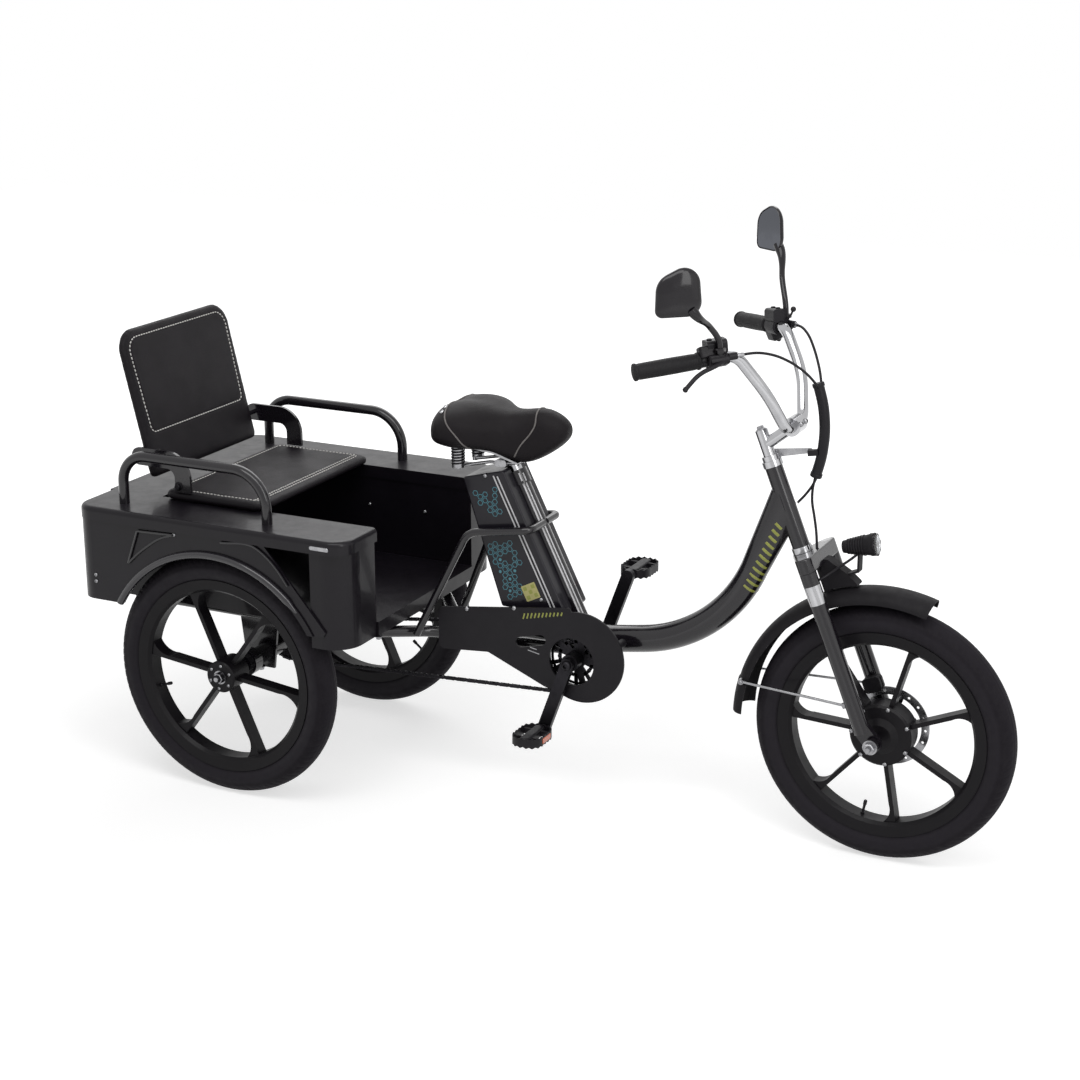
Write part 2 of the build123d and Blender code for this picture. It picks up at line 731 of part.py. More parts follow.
box_skin_y = box_half_width - skirt_thickness - 5 - soft_gap
box_nose = ahead(box_front - 4)
with BuildPart() as box_walls:
    for side in sides.values():
        with BuildSketch(Plane.XY.offset(floor_bottom)):
            with Locations((ahead((box_front - box_rear) / 2),
                            side * (well_half_width + wall_thickness / 2))):
                Rectangle(box_front + box_rear - 12, wall_thickness)
        extrude(amount=deck_bottom - floor_bottom)
        # the front of the wheel housing curves out from the wall to the skirt
        wall_y = side * (well_half_width + wall_thickness / 2)
        with BuildSketch(Plane.XY.offset(floor_bottom)):
            with BuildLine():
                face_out = FilletPolyline(
                    (ahead(232), side * box_skin_y), (box_nose, side * box_skin_y),
                    (box_nose, wall_y), radius=58,
                )
                face_in = FilletPolyline(
                    (box_nose - wall_thickness, wall_y),
                    (box_nose - wall_thickness, side * (box_skin_y - wall_thickness)),
                    (ahead(232), side * (box_skin_y - wall_thickness)), radius=58 - wall_thickness,
                )
                Line(face_out @ 1, face_in @ 0)
                Line(face_in @ 1, face_out @ 0)
            make_face()
        extrude(amount=deck_bottom - floor_bottom)
finish(box_walls, "box_walls")

with BuildPart() as decks:
    for side in sides.values():
        with BuildSketch(Plane.XY.offset(deck_bottom)) as deck_face:
            inner = side * (well_half_width - 3)
            outer = side * box_half_width
            with BuildLine():
                FilletPolyline(
                    (ahead(-box_rear), inner), (ahead(-box_rear), outer),
                    (ahead(box_front), outer), (ahead(box_front), inner),
                    radius=deck_corner_radius,
                )
                Line((ahead(box_front), inner), (ahead(-box_rear), inner))
            make_face()
        extrude(amount=deck_thickness)
    top_edges = decks.faces().group_by(Axis.Z)[-1].edges()
    fillet(top_edges.filter_by(lambda edge: abs(edge.center().Y) > well_half_width), 10)
finish(decks, "decks")

skirt_y = box_half_width - 5
for side_name, side in sides.items():
    with BuildPart() as side_panel:
        with BuildSketch(Plane(origin=(0, side * skirt_y, 0), x_dir=(1, 0, 0), z_dir=(0, -side, 0))
                         if side > 0 else
                         Plane(origin=(0, side * skirt_y, 0), x_dir=(-1, 0, 0), z_dir=(0, 1, 0))):
            flip = 1 if side > 0 else -1
            with BuildLine():
                Polyline(
                    (flip * ahead(-panel_seam), skirt_bottom), (flip * ahead(-panel_seam), deck_bottom),
                    (flip * ahead(128), deck_bottom), (flip * ahead(268), 402),
                    (flip * ahead(262), skirt_bottom), close=True,
                )
            make_face()
            with Locations((flip * rear_axle_x, axle_z)):
                Circle(arch_radius, mode=Mode.SUBTRACT)
        extrude(amount=skirt_thickness)
        # a raised lip round the wheel arch
        with BuildSketch(Plane(origin=(0, side * skirt_y, 0), x_dir=(1, 0, 0), z_dir=(0, -1, 0))):
            with Locations((rear_axle_x, axle_z)):
                Circle(arch_radius + arch_lip_width)
                Circle(arch_radius, mode=Mode.SUBTRACT)
            with Locations((rear_axle_x, axle_z - arch_radius + skirt_bottom - axle_z)):
                Rectangle(3 * arch_radius, 2 * arch_radius, mode=Mode.SUBTRACT)
        extrude(amount=-side * 3.5)
    finish(side_panel, f"side_panel_{side_name}")

with BuildPart() as rear_panel:
    with BuildSketch(Plane.XY.offset(skirt_bottom)):
        with BuildLine():
            wall_out = FilletPolyline(
                (ahead(-panel_seam), -skirt_y), (ahead(-box_rear), -skirt_y),
                (ahead(-box_rear), skirt_y), (ahead(-panel_seam), skirt_y), radius=deck_corner_radius - 5,
            )
            wall_in = FilletPolyline(
                (ahead(-panel_seam), skirt_y - skirt_thickness),
                (ahead(-box_rear + skirt_thickness), skirt_y - skirt_thickness),
                (ahead(-box_rear + skirt_thickness), -skirt_y + skirt_thickness),
                (ahead(-panel_seam), -skirt_y + skirt_thickness), radius=deck_corner_radius - 10,
            )
            Line(wall_out @ 1, wall_in @ 0)
            Line(wall_in @ 1, wall_out @ 0)
        make_face()
    extrude(amount=deck_bottom - skirt_bottom)
    with BuildSketch(Plane.XY.offset(deck_bottom)):
        with Locations((ahead(-(box_rear + shelf_front) / 2), 0)):
            Rectangle(box_rear - shelf_front, 2 * (well_half_width - 3))
    extrude(amount=deck_thickness)
finish(rear_panel, "rear_panel")

lamp_thickness = 12.0
with BuildPart() as rear_lamps:
    for side in sides.values():
        with BuildSketch(Plane(origin=(ahead(-box_rear), side * 250, 468), x_dir=(0, -1, 0),
                               z_dir=(-1, 0, 0))):
            RectangleRounded(56, 116, 12)
        extrude(amount=lamp_thickness)
    fillet(rear_lamps.faces().group_by(Axis.X)[0].edges(), 5)
finish(rear_lamps, "rear_lamps")

# =============================== passenger seat ===============================

with BuildPart() as seat_cushion:
    with BuildSketch(Plane.XY.offset(deck_top + soft_gap)):
        with Locations((ahead(seat_front - seat_depth / 2), 0)):
            RectangleRounded(seat_depth, 2 * seat_half_width, 24)
    extrude(amount=seat_thickness)
    fillet(seat_cushion.faces().sort_by(Axis.Z)[-1].edges(), 7)
finish(seat_cushion, "seat_cushion")

pivot = Vector(ahead(-backrest_pivot_back), 0, backrest_pivot_z)
lean = radians(backrest_lean)
back_front = Vector(cos(lean), 0, sin(lean))
with BuildPart() as backrest:
    board = Plane(origin=pivot - back_front * (backrest_thickness / 2), x_dir=(0, 1, 0),
                  z_dir=back_front)
    with BuildSketch(board):
        with Locations((0, backrest_length / 2 - backrest_below_pivot)):
            Rectangle(2 * backrest_half_width, backrest_length)
    extrude(amount=backrest_thickness)
    upright = backrest.edges().filter_by(lambda edge: abs(edge.length - backrest_thickness) < 0.1)
    fillet(upright.group_by(Axis.Z)[-1], backrest_corner)
    fillet(upright.group_by(Axis.Z)[0], 12)
    fillet(backrest.faces().filter_by(Axis(pivot, back_front)).edges(), 6)
    for side in sides.values():
        with BuildSketch(Plane(origin=pivot + Vector(0, side * (backrest_half_width - 12), 0),
                               z_dir=(0, side, 0))):
            Circle(backrest_pin_radius + running_gap)
        extrude(amount=20, mode=Mode.SUBTRACT)
finish(backrest, "backrest")

with BuildPart() as backrest_brackets:
    for side in sides.values():
        plate = Plane(origin=(0, side * bracket_half_gap, 0), x_dir=(1, 0, 0), z_dir=(0, -1, 0))
        with BuildSketch(plate):
            with BuildLine():
                FilletPolyline(
                    (pivot.X, backrest_pivot_z), (ahead(-bracket_foot_back), backrest_pivot_z),
                    (ahead(-bracket_foot_back), deck_top + soft_gap), radius=38,
                )
            trace(line_width=bracket_width)
            with Locations((pivot.X, backrest_pivot_z)):
                Circle(bracket_width / 2)
        extrude(amount=-side * bracket_thickness)
        with BuildSketch(Plane(origin=pivot + Vector(0, side * bracket_half_gap, 0),
                               z_dir=(0, -side, 0))):
            Circle(backrest_pin_radius)
        extrude(amount=bracket_half_gap - backrest_half_width + 10)
    add(seat_cushion.part, mode=Mode.SUBTRACT)
finish(backrest_brackets, "backrest_brackets")

with BuildPart() as armrests:
    for side in sides.values():
        y = side * armrest_y
        add(tube_part(
            [(ahead(-armrest_rear), y, deck_top), (ahead(-armrest_rear), y, armrest_top - armrest_radius),
             (ahead(armrest_front), y, armrest_top - armrest_radius), (ahead(armrest_front), y, deck_top)],
            [60, 78], armrest_radius))
finish(armrests, "armrests")

# =============================== saddle ===============================

# the saddle's side outline, and its plan: two round haunches and a nose
with BuildPart() as saddle:
    with BuildSketch(Plane.XZ):
        with BuildLine():
            top = Spline(
                (ahead(368), 765), (ahead(395), 828), (ahead(450), 836), (ahead(520), 812),
                (ahead(590), 828), (ahead(650), 803), (ahead(645), 760),
            )
            Polyline(
                top @ 1, (ahead(591), 712), (ahead(560), 716), (ahead(500), 735),
                (ahead(430), 742), (ahead(392), 744), top @ 0,
            )
        make_face()
    extrude(amount=saddle_half_width, both=True)
    haunch_y = saddle_half_width - saddle_rear_radius
    with BuildSketch(Plane.XY.offset(saddle_clamp_z)):
        with Locations((ahead(368 + saddle_rear_radius), haunch_y),
                       (ahead(368 + saddle_rear_radius), -haunch_y)):
            Circle(saddle_rear_radius)
        with Locations((ahead(654 - saddle_nose_radius), 0)):
            Circle(saddle_nose_radius)
        make_hull()
    extrude(amount=150, mode=Mode.INTERSECT)
finish(saddle, "saddle")

with BuildPart() as saddle_frame:
    # pressed pan that the saddle sits on
    with BuildSketch(Plane.XZ):
        with BuildLine():
            Polyline(
                (ahead(392), 743.7), (ahead(430), 741.7), (ahead(500), 734.7), (ahead(555), 717.5),
                (ahead(553), 714), (ahead(498), 731), (ahead(430), 738), (ahead(392), 740),
                close=True,
            )
        make_face()
    extrude(amount=42, both=True)
    for side in sides.values():
        spring = (ahead(saddle_spring_ahead), side * saddle_spring_y)
        # rail from the spring's foot through the clamp to the nose
        rail_route = [(spring[0], side * 30, saddle_clamp_z - 14),
                      (ahead(484), side * 26, saddle_clamp_z), (ahead(530), side * 20, saddle_clamp_z),
                      (ahead(556), side * 14, 715)]
        add(tube_part(rail_route, [40, 30], saddle_rail_radius))
        with BuildSketch(Plane.XY.offset(saddle_clamp_z - 14)):
            with Locations(spring):
                Circle(saddle_spring_radius)
        extrude(amount=740 - saddle_clamp_z + 14)
        with BuildSketch(Plane.XY.offset(saddle_clamp_z - 17)):
            with Locations((spring[0], side * 30)):
                Circle(saddle_rail_radius + 2)
            with Locations(spring):
                Circle(saddle_rail_radius + 2)
            make_hull()
        extrude(amount=6)
    with BuildSketch(Plane(origin=(ahead(saddle_clamp_ahead), 0, saddle_clamp_z), x_dir=(1, 0, 0),
                           z_dir=(0, 1, 0))):
        RectangleRounded(26, 14, 5)
    extrude(amount=30, both=True)
    add(seat_post.part, mode=Mode.SUBTRACT)
finish(saddle_frame, "saddle_frame")

# =============================== front end ===============================

crown_top = -(cup_height + crown_gap)
crown_bottom = crown_top - crown_thickness
socket_foot = crown_bottom - socket_length
with BuildPart() as fork_crown:
    with BuildSketch(steer_plane(crown_bottom)):
        Circle(crown_neck_radius)
        with Locations((leg_forward, leg_y), (leg_forward, -leg_y)):
            Circle(crown_socket_radius)
        make_hull()
    extrude(amount=crown_thickness)
    fillet(fork_crown.faces().filter_by(Axis(steer_foot, steer_up)).edges(), 3)
    with BuildSketch(steer_plane(crown_bottom + 2)):
        Circle(steerer_radius)
    extrude(amount=head_tube_length + cup_height - crown_bottom - 2)
    for side in sides.values():
        with BuildSketch(steer_plane(socket_foot, leg_forward, side * leg_y)):
            Circle(crown_socket_radius)
        extrude(amount=socket_length + 1)
        with BuildSketch(steer_plane(socket_foot, leg_forward, side * leg_y)):
            Circle(stanchion_radius)
        extrude(amount=socket_length + crown_thickness, mode=Mode.SUBTRACT)
finish(fork_crown, "fork_crown")

sleeve_top = socket_foot - soft_gap
with BuildPart() as stanchions:
    for side in sides.values():
        with BuildSketch(steer_plane(-leg_top - 60, leg_forward, side * leg_y)):
            Circle(stanchion_radius)
        extrude(amount=leg_top + 60 + crown_top)
        with BuildSketch(steer_plane(sleeve_top, leg_forward, side * leg_y)):
            Circle(crown_socket_radius)
        extrude(amount=-sleeve_height)
finish(stanchions, "stanchions")

leg_behind = leg_forward - fork_offset  # legs ahead of the axle
with BuildPart() as fork_legs:
    for side in sides.values():
        with BuildSketch(steer_plane(-fork_length + 26, leg_forward, side * leg_y)):
            Circle(leg_radius)
        extrude(amount=fork_length - 26 - leg_top)
        with BuildSketch(Plane(origin=front_hub + Vector(0, side * (leg_y - 7), 0),
                               x_dir=steer_fwd, z_dir=(0, side, 0))):
            Circle(leg_radius)
            with Locations((leg_behind, -34 * side)):
                Circle(leg_radius)
            make_hull()
        extrude(amount=14)
        with BuildSketch(steer_plane(-leg_top - 62, leg_forward, side * leg_y)):
            Circle(stanchion_radius + soft_gap)
        extrude(amount=70, mode=Mode.SUBTRACT)
        with BuildSketch(Plane(origin=front_hub + Vector(0, side * (leg_y + 7), 0),
                               z_dir=(0, side, 0))):
            RegularPolygon(nut_radius, 6)
        extrude(amount=8)
    with BuildSketch(wheel_face(front_hub)):
        Circle(front_axle_radius)
    extrude(amount=leg_y + 20, both=True)
finish(fork_legs, "fork_legs")

fender_crest = fender_inner_radius - fender_drop
with BuildPart() as front_fender:
    with BuildSketch(hub_section(fender_centre, fender_start)):
        with Locations((0, fender_crest)):
            Ellipse(fender_half_width, fender_drop + fender_thickness)
            Ellipse(fender_half_width - fender_thickness, fender_drop, mode=Mode.SUBTRACT)
        with Locations((0, fender_crest - fender_drop)):
            Rectangle(3 * fender_half_width, 2 * fender_drop, mode=Mode.SUBTRACT)
    revolve(axis=Axis(fender_centre, (0, -1, 0)), revolution_arc=fender_sweep)
    # rubber flap below its rear edge
    flap_out = 1.5  # the flap stands proud of the fender's skin
    with BuildSketch(hub_section(fender_centre, fender_start + fender_sweep - 1)):
        with Locations((0, fender_crest)):
            flap_width = fender_half_width + flap_out
            flap_rise = fender_drop + fender_thickness + flap_out
            Ellipse(flap_width, flap_rise)
            Ellipse(flap_width - flap_thickness, flap_rise - flap_thickness, mode=Mode.SUBTRACT)
        with Locations((0, fender_crest - fender_drop)):
            Rectangle(3 * fender_half_width, 2 * fender_drop, mode=Mode.SUBTRACT)
    revolve(axis=Axis(fender_centre, (0, -1, 0)), revolution_arc=flap_sweep + 1)
    # post up to the underside of the crown
    boss_foot = (fender_centre - steer_foot).dot(steer_up) + fender_inner_radius + 1
    with BuildSketch(steer_plane(boss_foot, leg_forward)):
        Circle(9)
    extrude(amount=crown_bottom - soft_gap - boss_foot)
finish(front_fender, "front_fender")

with BuildPart() as fender_stays:
    eye_angle = radians(stay_angle)
    eye_radius = fender_inner_radius - 12
    eye_y = fender_half_width + stay_radius + soft_gap
    stay_back = leg_behind - leg_radius - stay_radius + 0.2
    for side in sides.values():
        leg_point = front_hub + steer_up * stay_height + steer_fwd * stay_back
        leg_point += Vector(0, side * leg_y, 0)
        eye = fender_centre + Vector(cos(eye_angle), 0, sin(eye_angle)) * eye_radius
        eye += Vector(0, side * eye_y, 0)
        add(tube_part([eye, leg_point], [], stay_radius))
        with BuildSketch(Plane(origin=eye + Vector(0, side * stay_radius, 0), z_dir=(0, -side, 0))):
            Circle(6)
        extrude(amount=2 * stay_radius + 2.8)
        with BuildSketch(Plane(origin=leg_point - steer_fwd * stay_radius, z_dir=steer_fwd)):
            Circle(6)
        extrude(amount=6)
    add(front_fender.part, mode=Mode.SUBTRACT)
    add(fork_legs.part, mode=Mode.SUBTRACT)
finish(fender_stays, "fender_stays")

calliper_half = 11.0
with BuildPart() as brake_calliper:
    disc_mid = disc_y + brake_disc_thickness / 2
    grip_point = front_hub + Vector(0, disc_mid + calliper_half, 0) + steer_up * 88 - steer_fwd * 4
    calliper = Plane(origin=grip_point, x_dir=steer_fwd, z_dir=(0, -1, 0))
    with BuildSketch(calliper):
        RectangleRounded(36, 30, 7)
    extrude(amount=2 * calliper_half)
    # arm out to the left leg
    with BuildSketch(calliper):
        with Locations((leg_behind + 4, 4)):
            Rectangle(20, 16)
    extrude(amount=disc_mid + calliper_half - leg_y + leg_radius / 2)
    with BuildSketch(calliper.offset(calliper_half - 2.6)):
        with Locations((0, -6)):
            Rectangle(60, 34)
    extrude(amount=5.2, mode=Mode.SUBTRACT)
    add(fork_legs.part, mode=Mode.SUBTRACT)
finish(brake_calliper, "brake_calliper")

clamp_centre = Vector(ahead(clamp_ahead), 0, clamp_z)
stem_foot = head_tube_length + cup_height
with BuildPart() as stem:
    with BuildSketch(steer_plane(stem_foot)):
        Circle(stem_radius)
    extrude(amount=stem_rise - stem_foot)
    with BuildSketch(steer_plane(stem_foot)):
        Circle(stem_radius + 4.5)
    extrude(amount=10)
    arm_foot = steer_foot + steer_up * (stem_rise - 30)
    add(tube_part([arm_foot, clamp_centre], [], stem_radius - 1))
    with BuildSketch(Plane(origin=clamp_centre, z_dir=(0, 1, 0))):
        Circle(bar_radius + 7)
    extrude(amount=clamp_half, both=True)
    with BuildSketch(Plane(origin=clamp_centre, z_dir=(0, 1, 0))):
        Circle(bar_radius + running_gap)
    extrude(amount=clamp_half + 1, both=True, mode=Mode.SUBTRACT)
finish(stem, "stem")

bar_ends = {}
bar_tops = {}
bar_middles = {}
for side_name, side in sides.items():
    bar_ends[side_name] = Vector(ahead(bar_end_ahead), side * bar_end_y, bar_end_z)
    bar_tops[side_name] = Vector(ahead(bar_top_ahead), side * bar_top_y, bar_top_z)
    bar_middles[side_name] = Vector(ahead(bar_middle_ahead), side * bar_middle_y, bar_middle_z)
with BuildPart() as handlebar:
    add(tube_part(
        [bar_ends["right"], bar_tops["right"], bar_middles["right"],
         clamp_centre + Vector(0, -bar_bottom_y, 0), clamp_centre + Vector(0, bar_bottom_y, 0),
         bar_middles["left"], bar_tops["left"], bar_ends["left"]],
        [40, 220, 36, 36, 220, 40], bar_radius, bar_radius - bar_wall))
finish(handlebar, "handlebar")


def bar_plane(side_name, distance):
    """Plane square to the bar's grip stretch, a distance in from its end: X runs forward."""
    inward = (bar_tops[side_name] - bar_ends[side_name]).normalized()
    forward = Vector(abs(inward.Y), sides[side_name] * inward.X, 0).normalized()
    return Plane(origin=bar_ends[side_name] + inward * distance, x_dir=forward, z_dir=inward)


def bar_point(side_name, distance, forward, rise):
    """Point beside the grip stretch: a distance in from its end, ahead of it and above it."""
    plane = bar_plane(side_name, distance)
    return plane.origin + plane.x_dir * forward + plane.y_dir * (sides[side_name] * rise)


def arc_radii(route):
    """Bend radius at each corner: as large as the shorter of its two runs allows."""
    radii = []
    for before, corner, after in zip(route, route[1:], route[2:]):
        run_in, run_out = corner - before, after - corner
        turn = radians(run_in.get_angle(run_out))
        radii.append(0.45 * min(run_in.length, run_out.length) / tan(turn / 2))
    return radii


with BuildPart() as grips:
    for side_name in sides:
        with BuildSketch(bar_plane(side_name, soft_gap)):
            Circle(grip_radius)
            Circle(bar_radius + soft_gap, mode=Mode.SUBTRACT)
        extrude(amount=grip_length)
        with BuildSketch(bar_plane(side_name, -soft_gap)):
            Circle(grip_radius)
        extrude(amount=-4)
        with BuildSketch(bar_plane(side_name, -soft_gap)):
            Circle(grip_radius)
            Circle(bar_radius + soft_gap, mode=Mode.SUBTRACT)
        extrude(amount=2 * soft_gap)
finish(grips, "grips")

housing_start = grip_length + 12.0
housing_length = 35.0
lever_radius = 4.2
with BuildPart() as bar_controls:
    for side_name, side in sides.items():
        # lever housing with a narrower tail that the cable leaves
        with BuildSketch(bar_plane(side_name, housing_start)):
            Circle(bar_radius + 6)
            with Locations((20, 0)):
                Circle(9)
            make_hull()
        extrude(amount=housing_length)
        with BuildSketch(bar_plane(side_name, housing_start + housing_length)):
            with Locations((22, side * 4)):
                Circle(7)
        extrude(amount=16)
        # switch pod on top
        with BuildSketch(bar_plane(side_name, housing_start)):
            with Locations((-2, side * 22)):
                RectangleRounded(30, 26, 7)
        extrude(amount=housing_length + 4)
        blade = [bar_point(side_name, 168, 20, -2), bar_point(side_name, 146, 33, -5),
                 bar_point(side_name, 106, 41, -13), bar_point(side_name, 77, 45, -36)]
        add(tube_part(blade, arc_radii(blade), lever_radius))
        with BuildSketch(bar_plane(side_name, grip_length)):
            Circle(bar_radius + soft_gap)
        extrude(amount=80, mode=Mode.SUBTRACT)
finish(bar_controls, "bar_controls")

with BuildPart() as mirrors:
    for side_name, side in sides.items():
        yaw = radians(mirror_yaw)
        facing = Vector(sin(yaw), side * cos(yaw), 0)
        inboard = Vector(cos(yaw), -side * sin(yaw), 0)
        centre = Vector(ahead(mirror_ahead[side_name]), side * mirror_y, mirror_z[side_name])
        # head: a round top and two tight corners below
        with BuildSketch(Plane(centre - facing * (mirror_thickness / 2), x_dir=inboard, z_dir=facing)):
            with Locations((6, -side * 10)):
                Circle(mirror_radius)
            corner = mirror_half_width - mirror_corner_radius
            with Locations((-corner, side * corner), (corner, side * corner)):
                Circle(mirror_corner_radius)
            make_hull()
        extrude(amount=mirror_thickness)
        fillet(mirrors.faces().filter_by(Axis(centre, facing)).sort_by(
            Axis(centre, facing))[-1].edges(), 6)
        foot = bar_point(side_name, 158, 20, 8)
        knee = bar_point(side_name, 158, 20, 34)
        neck = centre + inboard * (mirror_half_width - 12) - Vector(0, 0, mirror_half_width - 4)
        shoulder = knee + (neck - knee) * 0.45 + Vector(0, side * -6, 4)
        mirror_arm = [foot, knee, shoulder, neck]
        add(tube_part(mirror_arm, arc_radii(mirror_arm), 6.5))
        with BuildSketch(Plane(shoulder, z_dir=neck - shoulder)):
            Circle(6.5)
        with BuildSketch(Plane(neck, z_dir=neck - shoulder)):
            Circle(10)
        loft()
    add(bar_controls.part, mode=Mode.SUBTRACT)
finish(mirrors, "mirrors")

with BuildPart() as headlight:
    aim = Vector(cos(radians(lamp_tilt)), 0, sin(radians(lamp_tilt)))
    lens_centre = Vector(ahead(lamp_ahead), 0, lamp_z)
    with BuildSketch(Plane(origin=lens_centre - aim * lamp_length, z_dir=aim)):
        Circle(lamp_back_radius)
    with BuildSketch(Plane(origin=lens_centre - aim * 8, z_dir=aim)):
        Circle(lamp_front_radius - 1)
    loft()
    with BuildSketch(Plane(origin=lens_centre - aim * 8, z_dir=aim)):
        Circle(lamp_front_radius)
    extrude(amount=8)
    # strap under the lamp, and the bracket that it is screwed to
    with BuildSketch(Plane.XZ):
        with BuildLine():
            Polyline(
                (ahead(1262), 616), (ahead(1262), 580), (ahead(1240), 571), (ahead(1205), 572),
            )
        trace(line_width=lamp_strap_thickness)
    extrude(amount=lamp_strap_width / 2, both=True)
    with BuildSketch(Plane.XZ):
        with BuildLine():
            Polyline(
                (ahead(1192), 597), (ahead(1202), 597), (ahead(1240), 575), (ahead(1262), 557),
                (ahead(1264), 553), (ahead(1240), 548), (ahead(1200), 535), (ahead(1188), 560),
                close=True,
            )
        make_face()
    extrude(amount=14, both=True)
    add(fork_crown.part, mode=Mode.SUBTRACT)
    with BuildSketch(steer_plane(boss_foot - 20, leg_forward)):
        Circle(9 + soft_gap)
    extrude(amount=crown_bottom - boss_foot + 20, mode=Mode.SUBTRACT)
finish(headlight, "headlight")

# =============================== cables ===============================

sheath_route = [Vector(ahead(1155), 30, 928), Vector(ahead(1168), 30, 885),
                Vector(ahead(1173), 30, 835), Vector(ahead(1168), 30, 785),
                Vector(ahead(1157), 30, 745)]
with BuildPart() as cable_sheath:
    add(tube_part(sheath_route, arc_radii(sheath_route), sheath_radius))
finish(cable_sheath, "cable_sheath")

cable_routes = {
    "right lever": [
        bar_point("right", 194, 22, 4), Vector(ahead(1088), -120, 1011), Vector(ahead(1112), -88, 1001),
        Vector(ahead(1133), -50, 980), Vector(ahead(1149), -12, 953), Vector(ahead(1160), 24, 920)],
    "left lever": [
        bar_point("left", 194, 22, 4), Vector(ahead(1087), 128, 1012), Vector(ahead(1110), 104, 1000),
        Vector(ahead(1132), 78, 975), Vector(ahead(1150), 55, 945), Vector(ahead(1161), 35, 918)],
    "frame": [
        Vector(ahead(1161), 34, 750), Vector(ahead(1153), 31, 729), Vector(ahead(1141), 24, 709),
        Vector(ahead(1125), 13, 690)],
    "fork": [
        Vector(ahead(1159), 26, 750), Vector(ahead(1153), 27, 722), Vector(ahead(1154), 23, 696),
        Vector(ahead(1163), 15, 670), Vector(ahead(1171), 7, 641), Vector(ahead(1175), 2, 608)],
    "headlight": [
        Vector(ahead(1188), -54, 566), Vector(ahead(1196), -40, 563), Vector(ahead(1206), -28, 569),
        Vector(ahead(1219), -20, 580), Vector(ahead(1233), -18, 592), Vector(ahead(1248), -13, 604),
        Vector(ahead(1262), -5, 617)],
}
for name, route in cable_routes.items():
    print(name, "cable radii", [round(radius, 1) for radius in arc_radii(route)])
print("sheath radii", [round(radius, 1) for radius in arc_radii(sheath_route)])
with BuildPart() as control_cables:
    for route in cable_routes.values():
        add(tube_part(route, arc_radii(route), cable_radius))
    for piece in (cable_sheath, bar_controls, handlebar, fork_crown, fork_legs, headlight):
        add(piece.part, mode=Mode.SUBTRACT)
    # they end just short of the head tube, which stays still when the fork turns
    with BuildSketch(steer_plane(0)):
        Circle(head_tube_radius + cable_clearance)
    extrude(amount=head_tube_length, mode=Mode.SUBTRACT)
finish(control_cables, "control_cables")
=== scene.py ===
import json
import math
import bmesh
import bpy
import numpy as np
from mathutils import Euler, Matrix, Vector
from mathutils.bvhtree import BVHTree


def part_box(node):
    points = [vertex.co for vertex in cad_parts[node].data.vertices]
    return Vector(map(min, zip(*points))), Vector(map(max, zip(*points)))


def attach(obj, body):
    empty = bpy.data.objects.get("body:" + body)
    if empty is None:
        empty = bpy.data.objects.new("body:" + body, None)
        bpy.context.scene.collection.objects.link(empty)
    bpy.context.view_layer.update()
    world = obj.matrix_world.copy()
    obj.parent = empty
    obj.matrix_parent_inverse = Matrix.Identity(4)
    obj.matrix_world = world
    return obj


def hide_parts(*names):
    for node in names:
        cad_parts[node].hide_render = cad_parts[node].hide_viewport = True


# Looks of an electric tricycle with a passenger box, in metres: +X ahead, +Y left, +Z up.

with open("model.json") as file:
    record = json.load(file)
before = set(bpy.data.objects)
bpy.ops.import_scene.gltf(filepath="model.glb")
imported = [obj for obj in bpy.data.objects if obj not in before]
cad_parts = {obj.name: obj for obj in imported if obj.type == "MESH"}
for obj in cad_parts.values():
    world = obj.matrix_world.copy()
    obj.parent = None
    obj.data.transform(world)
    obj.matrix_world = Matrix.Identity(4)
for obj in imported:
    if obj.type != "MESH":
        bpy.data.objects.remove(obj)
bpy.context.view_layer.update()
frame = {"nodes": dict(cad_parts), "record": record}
scene = bpy.context.scene
tau = 2 * math.pi
rearAxleX = -0.614
axleZ = 0.26
hubs = {"front": (0.711, 0.0), "rearLeft": (rearAxleX, 0.287), "rearRight": (rearAxleX, -0.287)}
steerFoot = np.array([0.5293, 0, 0.6127])  # foot of the head tube
steerUp = np.array([-0.3730, 0, 0.9278])
steerFwd = np.array([0.9278, 0, 0.3730])
across = np.array([0.0, 1.0, 0.0])
upward = np.array([0.0, 0.0, 1.0])
print("frame loaded")


def ahead(distance):  # x of a place given in millimetres ahead of the rear axle
    return rearAxleX + distance / 1000


def beside(places, y):  # pairs of millimetres ahead and up, as points at one distance to the side
    return [(ahead(x), y, z / 1000) for x, z in places]


bothSides = (-1, 1)
crankX, crankZ = ahead(690), 0.325

viewFrom = {"place": (1.7874, -3.706, 1.8388), "azimuth": 26.1265, "elevation": 17.3586,
            "roll": -0.1061, "lens": 70.497}
studio = {"floorSize": 14.0, "floorGlow": 0.62, "glowReach": (1.1, 2.4), "floorTone": 0.62, "skyFill": 0.31}
lamps = {  # place, target, width and height, power
    "key_lamp": ((0.3, -1.6, 3.3), (0, 0, 0.4), (2.8, 1.2), 40),
    "rim_lamp": ((-1.0, 2.4, 2.8), (0, 0, 0.5), (3.0, 1.8), 32),
    "side_lamp": ((3.0, -0.6, 1.6), (0, 0, 0.5), (1.6, 2.0), 4.0),
    "front_strip": ((2.3, -1.5, 2.1), (0.4, 0, 0.6), (0.9, 2.4), 26),
    "back_strip": ((-1.9, 4.0, 1.9), (-0.2, 0, 0.6), (4.0, 1.6), 2)}


